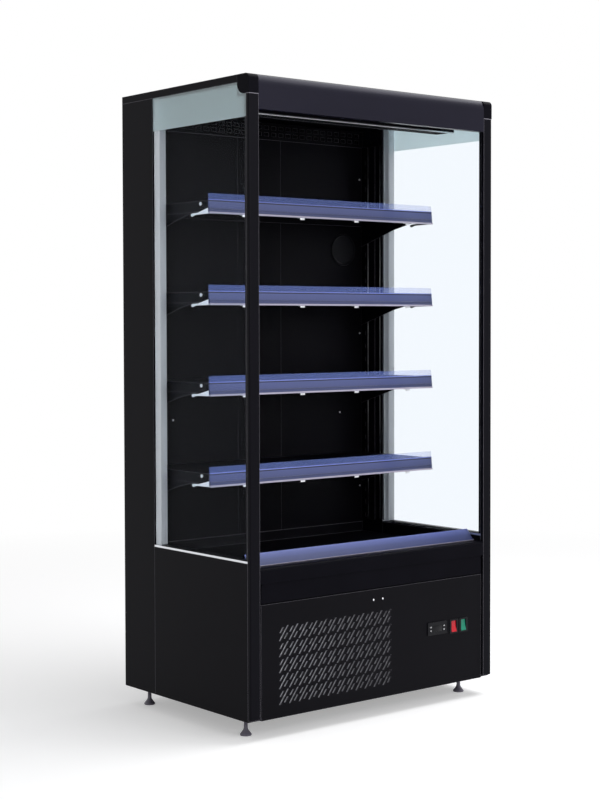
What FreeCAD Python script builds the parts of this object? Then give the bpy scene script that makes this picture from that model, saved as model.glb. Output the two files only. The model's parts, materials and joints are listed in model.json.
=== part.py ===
import FreeCAD, Part
import math
import os
from types import SimpleNamespace

import Sketcher

# Open multideck display fridge, in millimetres.
# +Z is up, the open front faces -Y and the origin is on the floor under the middle.

SIZES = dict(
    case_width=1000.0,
    case_depth=660.0,
    body_height=1880.0,
    foot_height=60.0,
    wall=36.0,              # thickness of a side, glass or panel
    sheet=2.0,              # structural sheet metal
    skin=1.5,               # light sheet metal
    gap=0.3,                # clearance between pieces that don't touch
    # canopy
    roof_thickness=22.0,
    canopy_depth=55.0,
    fascia_height=101.0,
    fascia_round=15.0,
    fascia_lip=20.0,
    cap_height=57.0,
    cap_round=30.0,
    ceiling_drop=25.0,      # air duct between roof and ceiling
    curtain_from_front=136.0,
    curtain_width=81.0,
    curtain_drop=43.0,
    core_height=36.0,
    core_slot=41.0,
    core_pitch=44.0,
    core_rim=2.5,
    # corner posts and side glass
    post_depth=13.0,
    post_foot=6.0,
    post_round=4.0,
    pane=5.0,
    pane_inset=2.0,
    spacer_bar=14.0,
    spacer_rear_bar=30.0,
    channel_lip=6.0,
    side_panel_height=465.0,
    rear_column_depth=173.0,
    column_round=6.0,
    # rear wall and air duct
    rear_wall=40.0,
    duct=30.0,
    back_panel_bottom=519.0,
    back_panel_top=1836.7,
    back_flange=12.0,
    centre_panel=182.0,
    outlet_slot_width=20.0,
    outlet_slot_height=12.0,
    outlet_pitch=31.0,
    outlet_row_pitch=22.0,
    cover_radius=55.0,
    cover_depth=5.0,
    cover_from_side=130.0,
    cover_z=1477.0,
    # shelves
    shelf_count=4,
    first_shelf=727.0,      # underside of the lowest price rail
    shelf_pitch=275.0,
    slots_between=6,        # upright slots from one shelf to the next
    shelf_front=246.0,      # front flange of a shelf behind the cabinet's front
    tray_height=32.0,
    tray_lift=8.0,
    tray_sheet=1.2,
    rail_height=43.0,
    rail_lean=4.0,
    rail_depth=10.0,
    rail_wall=1.2,
    rail_lip=4.5,
    riser_height=18.0,
    riser_wall=2.5,
    upright_width=67.0,
    upright_depth=6.0,
    upright_foot=531.0,
    slot_width=6.0,
    slot_height=14.0,
    bracket_sheet=3.0,
    bracket_drop=62.0,
    bracket_tip=24.0,
    bracket_knee=10.0,
    bracket_knee_back=170.0,
    bracket_round=170.0,
    hook_width=3.6,
    hook_height=11.0,
    # base
    skirt_top=400.0,
    face_inset=4.0,
    fold=8.0,
    trim_gap=4.0,
    trim_top=462.0,
    trim_round=11.0,
    trim_side_gap=7.0,
    nose_top=510.0,
    nose_round=12.0,
    nose_back=46.0,
    nose_dip=5.0,
    ramp_run=30.0,
    ramp_rise=35.0,
    nose_wall=3.0,
    base_rail_wall=3.0,
    base_rail_lip=6.0,
    deck_level=487.0,
    deck_front=115.0,
    deck_lip=18.0,
    deck_upstand=34.0,
    return_slot=34.0,
    return_pitch=44.0,
    tub_floor=325.0,
    insulation=30.0,
    tub_side=15.0,
    pan_sheet=3.0,
    pan_flange=30.0,
    vent_slot_width=180.0,
    vent_slot_height=14.0,
    vent_pitch=210.0,
    vent_row_pitch=38.0,
    vent_rows=5,
    vent_columns=4,
    # feet
    foot_radius=17.5,
    foot_neck=27.0,
    thread_radius=6.0,
    thread_length=32.0,
    nut_radius=14.0,        # to a corner
    nut_height=12.0,
    foot_inset_side=55.0,
    foot_inset_front=95.0,
    foot_inset_rear=60.0,
    # service grille
    grille_left=109.0,      # from the cabinet's left side
    grille_bottom=98.0,
    grille_columns=12,
    grille_rows=5,
    grille_pitch=37.5,
    grille_row_pitch=47.3,
    grille_slot=5.5,
    grille_slant=32.0,      # sideways run of a long slot
    grille_long=43.5,
    grille_short=16.0,
    grille_stagger=15.2,    # sideways step from a long slot to the short ones
    grille_upper=23.5,      # foot of the short slot above, from the foot of the long one
    grille_lower=5.0,
    # controls
    control_from_side=244.0,
    control_z=247.0,
    bezel_width=83.0,
    bezel_height=41.0,
    control_body_width=71.0,
    control_body_height=29.0,
    control_body_depth=22.0,
    control_clip=2.0,       # cut corners of the bezels
    display_width=40.0,
    display_height=20.0,
    display_sink=0.8,
    key_x=29.0,
    key_z=6.5,
    key_width=6.4,
    key_height=5.4,
    key_travel=0.8,
    key_length=4.6,
    switch_from_side=168.0,
    switch_pitch=43.0,
    switch_z=244.0,
    switch_width=39.0,
    switch_height=46.0,
    rocker_width=22.0,
    rocker_height=36.0,
    rocker_tilt=8.0,
    rocker_depth=10.0,
    rocker_dish=1.8,
    pivot_depth=6.0,
    switch_wall=1.8,
    # refrigeration
    coil_from_side=328.0,
    condenser_width=440.0,
    condenser_height=244.0,
    condenser_depth=44.0,
    condenser_from_front=40.0,
    fin_pitch=32.0,
    fin=1.0,
    coil_core=14.0,
    condenser_fan_radius=100.0,
    condenser_fan_z=185.0,
    evaporator_width=640.0,
    evaporator_height=112.0,
    evaporator_depth=130.0,
    evaporator_y=60.0,
    evaporator_fan_radius=54.0,
    evaporator_fan_z=420.0,
    fan_plate_y=-60.0,
    fan_clearance=5.0,
    fan_depth=22.0,
    blade_chord=26.0,
    blade_sheet=2.0,
    blade_count=5,
    blade_pitch=35.0,
    condenser_hub=30.0,
    evaporator_hub=18.0,
    stator_depth=24.0,
    strut_height=20.0,
    compressor_x=250.0,
    compressor_y=90.0,
    compressor_radius=78.0,
    compressor_height=178.0,
    compressor_dome=40.0,
    compressor_mount=12.0,
    compressor_base=190.0,
)

doc = FreeCAD.newDocument("multideck_fridge")
sheet = doc.addObject("Spreadsheet::Sheet", "sizes")


class Dim:
    """A size that knows its number and the expression that drives it."""

    def __init__(self, text, value):
        self.text = text
        self.value = value

    def __add__(self, other):
        other = as_dim(other)
        return Dim("(%s + %s)" % (self.text, other.text), self.value + other.value)

    def __sub__(self, other):
        other = as_dim(other)
        return Dim("(%s - %s)" % (self.text, other.text), self.value - other.value)

    def __mul__(self, other):
        other = as_dim(other)
        return Dim("(%s * %s)" % (self.text, other.text), self.value * other.value)

    def __truediv__(self, other):
        other = as_dim(other)
        return Dim("(%s / %s)" % (self.text, other.text), self.value / other.value)

    def __radd__(self, other):
        return as_dim(other) + self

    def __rsub__(self, other):
        return as_dim(other) - self

    def __rmul__(self, other):
        return as_dim(other) * self

    def __neg__(self):
        return as_dim(0) - self


def as_dim(number):
    return number if isinstance(number, Dim) else Dim("%.6f" % number, float(number))


def root(dim):
    return Dim("sqrt(%s)" % dim.text, math.sqrt(dim.value))


def cosine(angle):
    return Dim("cos(%s)" % angle.text, math.cos(math.radians(angle.value)))


def sine(angle):
    return Dim("sin(%s)" % angle.text, math.sin(math.radians(angle.value)))


def whole(dim):
    return Dim("floor(%s)" % dim.text, math.floor(dim.value + 1e-9))


def new_cell(row, name, value):
    cell = "B%d" % row
    sheet.set("A%d" % row, name)
    sheet.set(cell, "%g" % value)
    sheet.setAlias(cell, name)
    return Dim("sizes.%s" % name, float(value))


s = SimpleNamespace(**{name: new_cell(row, name, value)
                       for row, (name, value) in enumerate(SIZES.items(), 1)})
doc.recompute()

# Planes and levels that several pieces share.
half = s.case_width / 2
inner = half - s.wall
clear = inner - s.gap
front = -s.case_depth / 2
back = s.case_depth / 2
floor_line = s.foot_height
top = s.foot_height + s.body_height
roof_under = top - s.roof_thickness
canopy_back = front + s.canopy_depth
cap_under = top - s.cap_height
post_back = front + s.post_depth
column_front = back - s.rear_column_depth
panel_top = s.foot_height + s.side_panel_height
rear_wall_front = back - s.rear_wall
back_panel_face = rear_wall_front - s.duct - s.sheet
face = front + s.face_inset
fold_back = face + s.fold
ceiling = roof_under - s.ceiling_drop
tub_inside = s.tub_floor + s.insulation
tub_top = s.deck_level - s.sheet - s.gap
shelf_face = front + s.shelf_front
control_x = half - s.control_from_side
switch_x = half - s.switch_from_side
coil_x = -half + s.coil_from_side
upright_face = inner - s.upright_depth
tray_half = upright_face - s.gap
slot_pitch = s.shelf_pitch / s.slots_between
shelf_levels = [s.first_shelf + s.shelf_pitch * i for i in range(int(s.shelf_count.value))]

LEFT, RIGHT = -1, 1
SIDES = {"left": LEFT, "right": RIGHT}
nodes = []


# ---- drawing helpers -------------------------------------------------------------------

def keep(piece):
    nodes.append(piece)
    return piece


def body(label, x=0, y=0, z=0, turn=None):
    piece = doc.addObject("PartDesign::Body", label)
    piece.Label = label
    if turn:
        piece.Placement = FreeCAD.Placement(FreeCAD.Vector(), FreeCAD.Rotation(turn[0], turn[1]))
    for axis, place in zip("xyz", (x, y, z)):
        piece.setExpression("Placement.Base." + axis, as_dim(place).text)
    return piece


def origin(piece, role):
    return next(f for f in piece.Origin.OriginFeatures if f.Role == role)


def draw_outline(sketch, corners):
    """Closed outline through corners (u, v) or (u, v, radius), held by constraints."""
    corners = [tuple(as_dim(c) for c in corner) for corner in corners]
    flat = [FreeCAD.Vector(c[0].value, c[1].value, 0) for c in corners]
    count = len(corners)
    lines = []
    ends = []
    for i in range(count):
        before = (flat[i - 1] - flat[i]).normalize()
        after = (flat[(i + 1) % count] - flat[i]).normalize()
        reach = 0.0
        if len(corners[i]) == 3:
            reach = corners[i][2].value / math.tan(before.getAngle(after) / 2)
        ends.append((flat[i] + before * reach, flat[i] + after * reach))
    for i in range(count):
        segment = Part.LineSegment(ends[i][1], ends[(i + 1) % count][0])
        lines.append(sketch.addGeometry(segment, False))
    for i, corner in enumerate(corners):
        into, out = lines[i - 1], lines[i]
        if len(corner) == 2:
            sketch.addConstraint(Sketcher.Constraint("Coincident", into, 2, out, 1))
            held, spot = out, 1
        else:
            turn = (flat[i] - flat[i - 1]).cross(flat[(i + 1) % count] - flat[i]).z
            held, spot = draw_round(sketch, into, out, ends[i], flat[i], corner[2], turn)
        for kind, place in zip(("DistanceX", "DistanceY"), corner):
            index = sketch.addConstraint(
                Sketcher.Constraint(kind, -1, 1, held, spot, place.value))
            sketch.setExpression("Constraints[%d]" % index, place.text)


def draw_round(sketch, into, out, ends, corner, radius, turn):
    """Arc tangent to two lines, with a construction point where the lines would meet."""
    start, end = ends
    middle = (start + end) * 0.5
    away = (middle - corner).normalize()
    reach = math.hypot(radius.value, (start - corner).Length)
    centre = corner + away * reach
    first, last = (start, end) if turn > 0 else (end, start)
    angles = [math.atan2(p.y - centre.y, p.x - centre.x) for p in (first, last)]
    circle = Part.Circle(centre, FreeCAD.Vector(0, 0, 1), radius.value)
    arc = sketch.addGeometry(Part.ArcOfCircle(circle, angles[0], angles[1]), False)
    arc_in, arc_out = (1, 2) if turn > 0 else (2, 1)
    sketch.addConstraint(Sketcher.Constraint("Tangent", into, 2, arc, arc_in))
    sketch.addConstraint(Sketcher.Constraint("Tangent", out, 1, arc, arc_out))
    index = sketch.addConstraint(Sketcher.Constraint("Radius", arc, radius.value))
    sketch.setExpression("Constraints[%d]" % index, radius.text)
    point = sketch.addGeometry(Part.Point(corner), True)
    sketch.addConstraint(Sketcher.Constraint("PointOnObject", point, 1, into))
    sketch.addConstraint(Sketcher.Constraint("PointOnObject", point, 1, out))
    return point, 1


def draw_circle(sketch, u, v, radius):
    u, v, radius = as_dim(u), as_dim(v), as_dim(radius)
    centre = FreeCAD.Vector(u.value, v.value, 0)
    circle = sketch.addGeometry(
        Part.Circle(centre, FreeCAD.Vector(0, 0, 1), radius.value), False)
    for kind, place in (("DistanceX", u), ("DistanceY", v)):
        index = sketch.addConstraint(
            Sketcher.Constraint(kind, -1, 1, circle, 3, place.value))
        sketch.setExpression("Constraints[%d]" % index, place.text)
    index = sketch.addConstraint(Sketcher.Constraint("Radius", circle, radius.value))
    sketch.setExpression("Constraints[%d]" % index, radius.text)


def sketch_on(piece, plane, outlines, level=0):
    """Sketch on plane XY, XZ or YZ, moved along the third axis to level."""
    sketch = piece.newObject("Sketcher::SketchObject", piece.Label + "_outline")
    sketch.AttachmentSupport = [(origin(piece, plane + "_Plane"), "")]
    sketch.MapMode = "FlatFace"
    offset = -as_dim(level) if plane == "XZ" else as_dim(level)
    sketch.setExpression("AttachmentOffset.Base.z", offset.text)
    for outline in outlines:
        if isinstance(outline, list):
            draw_outline(sketch, outline)
        else:
            draw_circle(sketch, *outline)
    return sketch


def pad(piece, plane, outlines, start, end):
    """Solid between start and end along the axis square to plane."""
    feature = piece.newObject("PartDesign::Pad", piece.Label + "_pad")
    feature.Profile = sketch_on(piece, plane, outlines, start)
    feature.Reversed = plane == "XZ"
    feature.setExpression("Length", (as_dim(end) - start).text)
    return feature


def pocket(piece, plane, outlines, start, end):
    """Cut between start and end along the axis square to plane."""
    feature = piece.newObject("PartDesign::Pocket", piece.Label + "_pocket")
    feature.Profile = sketch_on(piece, plane, outlines, start)
    feature.Reversed = plane != "XZ"
    feature.setExpression("Length", (as_dim(end) - start).text)
    return feature


def revolve(piece, plane, corners):
    """Turned solid about the piece's own vertical sketch axis."""
    feature = piece.newObject("PartDesign::Revolution", piece.Label + "_turned")
    sketch = sketch_on(piece, plane, [corners])
    feature.Profile = sketch
    feature.ReferenceAxis = (sketch, ["V_Axis"])
    feature.Angle = 360
    return feature


def grid(piece, feature, axis, pitch, count, axis2=None, pitch2=None, count2=None):
    """Repeat a feature along one or two axes."""
    pattern = piece.newObject("PartDesign::LinearPattern", piece.Label + "_rows")
    pattern.Originals = [feature]
    pattern.Direction = (origin(piece, axis + "_Axis"), [""])
    pattern.setExpression("Length", (pitch * (count - 1)).text)
    pattern.setExpression("Occurrences", as_dim(count).text)
    if axis2:
        pattern.Direction2 = (origin(piece, axis2 + "_Axis"), [""])
        pattern.setExpression("Length2", (pitch2 * (count2 - 1)).text)
        pattern.setExpression("Occurrences2", as_dim(count2).text)
    piece.Tip = pattern
    return pattern


def spin(piece, feature, count):
    """Repeat a feature round the piece's own Y axis."""
    pattern = piece.newObject("PartDesign::PolarPattern", piece.Label + "_ring")
    pattern.Originals = [feature]
    pattern.Axis = (origin(piece, "Y_Axis"), [""])
    pattern.Angle = 360
    pattern.setExpression("Occurrences", count.text)
    piece.Tip = pattern
    return pattern


def box(u0, v0, u1, v1):
    return [(u0, v0), (u1, v0), (u1, v1), (u0, v1)]


def clipped(u0, v0, u1, v1, cut):
    """Box with its four corners cut off."""
    return [(u0 + cut, v0), (u1 - cut, v0), (u1, v0 + cut), (u1, v1 - cut),
            (u1 - cut, v1), (u0 + cut, v1), (u0, v1 - cut), (u0, v0 + cut)]


def hexagon(u, v, radius):
    """Six-sided outline with a corner towards u."""
    turns = [as_dim(60 * i) for i in range(6)]
    return [(u + cosine(turn) * radius, v + sine(turn) * radius) for turn in turns]


def across(side, near, far):
    """The x range between two distances from the middle, on one side."""
    return (near, far) if side == RIGHT else (-far, -near)


def slots_in(span, width, pitch):
    return whole((span - width) / pitch) + 1


# ---- casing ----------------------------------------------------------------------------

def chassis_pan():
    """Machine tray with side flanges, weld nuts for the feet and a slotted back."""
    piece = body("chassis_pan")
    inside = floor_line + s.pan_sheet
    plate = back - s.pan_sheet
    profile = [(fold_back, floor_line), (back, floor_line), (back, s.tub_floor),
               (plate, s.tub_floor), (plate, inside), (fold_back, inside)]
    pad(piece, "YZ", [profile], -clear, clear)
    for side in SIDES.values():
        low, high = across(side, clear - s.sheet, clear)
        pad(piece, "YZ", [box(fold_back, inside, plate, inside + s.pan_flange)], low, high)
    for x, y in foot_places():
        pad(piece, "XY", [hexagon(x, y, s.nut_radius)], inside, inside + s.nut_height)
    bore = s.thread_radius + s.gap
    for x, y in foot_places():
        pocket(piece, "XY", [(x, y, bore)], floor_line, inside + s.nut_height)
    start_x = -(s.vent_pitch * (s.vent_columns - 1) + s.vent_slot_width) / 2
    start_z = inside + s.pan_flange
    slot = box(start_x, start_z, start_x + s.vent_slot_width, start_z + s.vent_slot_height)
    cut = pocket(piece, "XZ", [slot], plate, back)
    grid(piece, cut, "X", s.vent_pitch, s.vent_columns, "Z", s.vent_row_pitch, s.vent_rows)
    return keep(piece)


def foot_places():
    side = half - s.foot_inset_side
    near = front + s.foot_inset_front
    far = back - s.foot_inset_rear
    return [(-side, near), (side, near), (-side, far), (side, far)]


def feet():
    """Levelling feet: a cone on the floor, with a threaded stem."""
    names = ("foot_front_left", "foot_front_right", "foot_rear_left", "foot_rear_right")
    high = s.foot_height + s.thread_length
    profile = [(0, 0), (s.foot_radius, 0), (s.thread_radius, s.foot_neck),
               (s.thread_radius, high), (0, high)]
    for name, (x, y) in zip(names, foot_places()):
        piece = body(name, x, y, 0)
        revolve(piece, "XZ", profile)
        keep(piece)


def side_panel(name, side):
    piece = body("side_panel_" + name)
    low, high = across(side, inner, half)
    pad(piece, "XY", [box(low, post_back, high, column_front)], floor_line, panel_top)
    return keep(piece)


def rear_column(name, side):
    piece = body("rear_column_" + name)
    outline = [(side * inner, column_front), (side * half, column_front),
               (side * half, back, s.column_round), (side * inner, back)]
    pad(piece, "XY", [outline], floor_line, roof_under)
    return keep(piece)


def rear_wall():
    piece = body("rear_wall")
    pad(piece, "XY", [box(-clear, rear_wall_front, clear, back)], s.tub_floor, roof_under)
    return keep(piece)


def roof_panel():
    piece = body("roof_panel")
    outline = [(-half, canopy_back), (half, canopy_back), (half, back, s.column_round),
               (-half, back, s.column_round)]
    pad(piece, "XY", [outline], roof_under, top)
    return keep(piece)


def canopy_end_caps():
    piece = body("canopy_end_caps")
    outline = [(front, cap_under), (canopy_back, cap_under, s.cap_round),
               (canopy_back, top), (front, top, s.fascia_round)]
    for side in SIDES.values():
        low, high = across(side, inner, half)
        pad(piece, "YZ", [outline], low, high)
    return keep(piece)


def post(name, side):
    """Hollow corner extrusion in front of the side glass."""
    piece = body("post_" + name)
    outline = [(side * inner, front), (side * half, front, s.post_round),
               (side * half, post_back), (side * inner, post_back)]
    thin = s.sheet
    hollow = [(side * (inner + thin), front + thin),
              (side * (half - thin), front + thin, s.post_round - thin),
              (side * (half - thin), post_back - thin),
              (side * (inner + thin), post_back - thin)]
    pad(piece, "XY", [outline, hollow], floor_line + s.post_foot, cap_under)
    return keep(piece)


def canopy_fascia():
    """Folded front of the canopy, rounded at the top and lipped below."""
    piece = body("canopy_fascia")
    low = top - s.fascia_height
    thin = s.sheet
    lip = front + s.fascia_lip
    outline = [(front, low), (front, top, s.fascia_round), (canopy_back, top),
               (canopy_back, top - thin),
               (front + thin, top - thin, s.fascia_round - thin),
               (front + thin, low + thin), (lip - thin, low + thin),
               (lip - thin, low + s.fascia_lip / 2), (lip, low + s.fascia_lip / 2),
               (lip, low)]
    pad(piece, "YZ", [outline], -clear, clear)
    return keep(piece)


def curtain_range():
    near = front + s.curtain_from_front
    return near, near + s.curtain_width


def canopy_duct():
    """Ceiling sheet with the frame that holds the air curtain's honeycomb."""
    piece = body("canopy_duct")
    thin = s.sheet
    near, far = curtain_range()
    rear = back_panel_face - s.gap
    profile = [(canopy_back, roof_under), (canopy_back, ceiling), (rear, ceiling),
               (rear, ceiling + thin), (canopy_back + thin, ceiling + thin),
               (canopy_back + thin, roof_under)]
    pad(piece, "YZ", [profile], -clear, clear)
    end = clear - thin
    hole = box(-end, near + thin, end, far - thin)
    frame = box(-clear, near, clear, far)
    pad(piece, "XY", [frame, hole], ceiling - s.curtain_drop, ceiling)
    pocket(piece, "XY", [hole], ceiling, ceiling + thin)
    return keep(piece)


def honeycomb():
    """Slotted aluminium core that straightens the cold air curtain."""
    piece = body("honeycomb")
    near, far = curtain_range()
    near = near + s.sheet + s.gap
    far = far - s.sheet - s.gap
    end = clear - s.sheet - s.gap
    low = ceiling - s.curtain_drop + s.sheet
    high = low + s.core_height
    pad(piece, "XY", [box(-end, near, end, far)], low, high)
    count = slots_in(2 * end - 2 * s.core_rim, s.core_slot, s.core_pitch)
    start = -(s.core_pitch * (count - 1) + s.core_slot) / 2
    slot = box(start, near + s.core_rim, start + s.core_slot, far - s.core_rim)
    cut = pocket(piece, "XY", [slot], low, high)
    grid(piece, cut, "X", s.core_pitch, count)
    return keep(piece)


# ---- side glass ------------------------------------------------------------------------

def glass_outline():
    """Pane with its top front corner cut round the canopy's end cap."""
    low = panel_top + s.sheet + s.gap
    near = post_back + s.gap
    far = column_front - s.gap
    high = roof_under - s.gap
    notch = cap_under - s.gap
    step = canopy_back + s.gap
    return [(near, low), (far, low), (far, high), (step, high),
            (step, notch, s.cap_round + s.gap), (near, notch)]


def side_glass(name, side):
    piece = body("side_glass_" + name)
    first = inner + s.pane_inset
    last = half - s.pane_inset
    for near, far in ((first, first + s.pane), (last - s.pane, last)):
        low, high = across(side, near, far)
        pad(piece, "YZ", [glass_outline()], low, high)
    return keep(piece)


def glass_spacers():
    """Bright edge bars that seal each pair of panes."""
    piece = body("glass_spacers")
    outline = glass_outline()
    bar = s.spacer_bar
    near, low = outline[0]
    far, high = outline[2]
    step, notch, bend = outline[4]
    window = [(near + bar, low + bar), (far - s.spacer_rear_bar, low + bar),
              (far - s.spacer_rear_bar, high - bar), (step + bar, high - bar),
              (step + bar, notch - bar, bend + bar), (near + bar, notch - bar)]
    thick = s.pane_inset + s.pane
    for side in SIDES.values():
        start, end = across(side, inner + thick, half - thick)
        pad(piece, "YZ", [outline, window], start, end)
    return keep(piece)


def glass_channels():
    """U channels on the side panels that the glass stands in."""
    piece = body("glass_channels")
    lip = s.pane_inset - s.gap
    high = panel_top + s.channel_lip
    bed = panel_top + s.sheet
    for side in SIDES.values():
        outline = [(inner, panel_top), (half, panel_top), (half, high), (half - lip, high),
                   (half - lip, bed), (inner + lip, bed), (inner + lip, high), (inner, high)]
        outline = [(side * u, v) for u, v in outline]
        pad(piece, "XZ", [outline], post_back, column_front)
    return keep(piece)


# ---- back of the display space ---------------------------------------------------------

def back_panels():
    """Three flanged sheets in front of the air duct."""
    piece = body("back_panels")
    seam = s.centre_panel / 2
    rear = back_panel_face + s.back_flange
    skin = s.skin
    for low, high in ((-clear, -seam - s.gap), (-seam, seam), (seam + s.gap, clear)):
        outline = [(low, back_panel_face), (high, back_panel_face), (high, rear),
                   (high - skin, rear), (high - skin, back_panel_face + skin),
                   (low + skin, back_panel_face + skin), (low + skin, rear), (low, rear)]
        pad(piece, "XY", [outline], s.back_panel_bottom, s.back_panel_top)
    return keep(piece)


def outlet_grille():
    """Cold air outlet at the top of the back, with two rows of slots."""
    piece = body("outlet_grille")
    low = s.back_panel_top
    high = ceiling + s.sheet
    rear = back_panel_face + s.sheet
    pad(piece, "XY", [box(-clear, back_panel_face, clear, rear)], low, high)
    count = slots_in(2 * clear - s.outlet_pitch, s.outlet_slot_width, s.outlet_pitch)
    start = -(s.outlet_pitch * (count - 1) + s.outlet_slot_width) / 2
    rows = 2
    start_z = (low + high - s.outlet_row_pitch - s.outlet_slot_height) / 2
    slot = box(start, start_z, start + s.outlet_slot_width, start_z + s.outlet_slot_height)
    cut = pocket(piece, "XZ", [slot], back_panel_face, rear)
    grid(piece, cut, "X", s.outlet_pitch, count, "Z", s.outlet_row_pitch, rows)
    return keep(piece)


def upright_slot_y():
    return back_panel_face - s.upright_width / 3


def shelf_uprights():
    """Slotted channels on the side walls that the shelf brackets hook into."""
    piece = body("shelf_uprights")
    near = back_panel_face - s.upright_width
    far = back_panel_face
    skin = s.skin
    high = s.back_panel_top
    count = slots_in(high - s.upright_foot - slot_pitch, s.slot_height, slot_pitch)
    first_slot = s.first_shelf - s.bracket_drop + s.bracket_knee
    below = whole((first_slot - s.upright_foot - skin) / slot_pitch)
    start_z = first_slot - slot_pitch * below
    y = upright_slot_y()
    for side in SIDES.values():
        outline = [(inner, near), (upright_face, near), (upright_face, far), (inner, far),
                   (inner, far - skin), (upright_face + skin, far - skin),
                   (upright_face + skin, near + skin), (inner, near + skin)]
        outline = [(side * u, v) for u, v in outline]
        pad(piece, "XY", [outline], s.upright_foot, high)
    slot = box(y - s.slot_width / 2, start_z, y + s.slot_width / 2, start_z + s.slot_height)
    cut = pocket(piece, "YZ", [slot], -half, half)
    grid(piece, cut, "Z", slot_pitch, count)
    return keep(piece)


def round_cover():
    """Cap over the service hole in the right back panel."""
    piece = body("round_cover", half - s.cover_from_side, back_panel_face, s.cover_z)
    pad(piece, "XZ", [(0, 0, s.cover_radius)], -s.cover_depth, 0)
    return keep(piece)


# ---- shelves ---------------------------------------------------------------------------

def shelf(number, level):
    """Tray, price rail and clear riser that lift off together."""
    low = level + s.tray_lift
    high = low + s.tray_height
    thin = s.tray_sheet
    rear = back_panel_face - s.gap - s.sheet
    tray = body("shelf_tray_%d" % number, z=low)
    pad(tray, "XY", [box(-tray_half, shelf_face, tray_half, rear)], 0, high - low)
    hollow = box(-tray_half + thin, shelf_face + thin, tray_half - thin, rear - thin)
    pocket(tray, "XY", [hollow], 0, high - low - thin)
    keep(tray)

    rail = body("price_rail_%d" % number, y=shelf_face, z=level)
    out = -s.rail_depth
    skin = s.rail_wall
    tall = s.rail_height
    lean_foot = out + s.rail_lip / 2
    lean_head = lean_foot + s.rail_lean
    outline = [(0, 0), (0, tall), (lean_head, tall), (lean_foot, s.rail_lip),
               (out, s.rail_lip), (out, 0)]
    hollow = [(-skin, skin), (-skin, tall - skin), (lean_head + skin, tall - skin),
              (lean_foot + skin, skin)]
    pad(rail, "YZ", [outline, hollow], -clear, clear)
    keep(rail)

    riser = body("riser_%d" % number, y=shelf_face, z=level + tall)
    head = lean_head + s.rail_lean / 2
    profile = [(lean_head, 0), (lean_head + s.riser_wall, 0),
               (head + s.riser_wall, s.riser_height), (head, s.riser_height)]
    pad(riser, "YZ", [profile], -clear, clear)
    keep(riser)


def shelf_brackets():
    """Cantilever brackets, two under each shelf, hooked into the uprights."""
    piece = body("shelf_brackets")
    outer = tray_half - s.tray_sheet - s.gap
    plate = outer - s.bracket_sheet
    tip = shelf_face + s.tray_sheet + s.gap
    rear = back_panel_face - s.gap - s.sheet - s.tray_sheet - s.gap
    knee = shelf_face + s.bracket_knee_back
    y = upright_slot_y()
    for level in shelf_levels:
        head = level + s.tray_lift + s.tray_height - s.tray_sheet - s.gap
        low = level - s.bracket_drop
        outline = [(tip, head), (tip, level + s.bracket_tip),
                   (knee, level - s.bracket_knee, s.bracket_round), (rear, low),
                   (rear, head)]
        hook_low = low + s.bracket_knee + (s.slot_height - s.hook_height) / 2
        for side in SIDES.values():
            start, end = across(side, plate, outer)
            pad(piece, "YZ", [outline], start, end)
            start, end = across(side, outer, inner - s.skin)
            for step in (0, 1):
                foot = hook_low + slot_pitch * step
                hook = box(y - s.hook_width / 2, foot,
                           y + s.hook_width / 2, foot + s.hook_height)
                pad(piece, "YZ", [hook], start, end)
    return keep(piece)


# ---- base ------------------------------------------------------------------------------

def insulated_tub():
    """Foamed trough for the evaporator, open at the rear to the air duct."""
    piece = body("insulated_tub")
    pad(piece, "XY", [box(-clear, fold_back, clear, rear_wall_front)], s.tub_floor, tub_top)
    hollow = box(-clear + s.tub_side, fold_back + s.insulation, clear - s.tub_side,
                 rear_wall_front)
    pocket(piece, "XY", [hollow], tub_inside, tub_top)
    return keep(piece)


def deck_tray():
    """Lift-out floor of the display space, with an upstand at the rear."""
    piece = body("deck_tray")
    thin = s.sheet
    near = front + s.deck_front
    rear = back_panel_face - s.sheet
    level = s.deck_level
    edge = inner - s.sheet
    under = level - thin
    pad(piece, "XY", [box(-edge, near, edge, rear)], under, level)
    lip_end = clear - s.tub_side - s.sheet
    pad(piece, "YZ", [box(near, level - s.deck_lip, near + thin, under)], -lip_end, lip_end)
    upstand = box(rear - thin, level, rear, under + s.deck_upstand)
    pad(piece, "YZ", [upstand], -tray_half, tray_half)
    return keep(piece)


def nose_points():
    """Key points of the nose: top edge, foot of the ramp and head of the ramp."""
    foot = (front + s.nose_back, s.nose_top - s.nose_dip)
    head = (foot[0] + s.ramp_run, foot[1] + s.ramp_rise)
    return foot, head


def return_grille():
    """Slotted strip that takes the air curtain back under the deck."""
    piece = body("return_grille")
    rear = front + s.deck_front - s.gap
    edge = inner - s.sheet
    low = tub_top
    pad(piece, "XY", [box(-edge, fold_back, edge, rear)], low, s.deck_level)
    near = nose_points()[1][0] + s.nose_wall * 2
    inside = clear - s.tub_side - s.return_slot
    count = slots_in(2 * inside, s.return_slot, s.return_pitch)
    start = -(s.return_pitch * (count - 1) + s.return_slot) / 2
    slot = box(start, near, start + s.return_slot, rear - s.nose_wall)
    cut = pocket(piece, "XY", [slot], low, s.deck_level)
    grid(piece, cut, "X", s.return_pitch, count)
    return keep(piece)


def nose():
    """Hollow moulding over the sill, rounded in front, with a ramp for the price rail."""
    piece = body("nose")
    wall = s.nose_wall
    (foot_y, foot_z), (head_y, head_z) = nose_points()
    shelf_z = s.deck_level
    rear = head_y + wall
    outline = [(front, s.trim_top), (front, s.nose_top, s.nose_round), (foot_y, foot_z),
               (head_y, head_z), (rear, head_z), (rear, shelf_z), (fold_back, shelf_z),
               (fold_back, s.trim_top)]
    hollow = [(fold_back, shelf_z + wall), (fold_back, s.nose_top - wall * 2),
              (foot_y, foot_z - wall * 1.5), (head_y - wall / 2, head_z - wall * 2),
              (head_y - wall / 2, shelf_z + wall)]
    pad(piece, "YZ", [outline, hollow], -clear, clear)
    return keep(piece)


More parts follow.
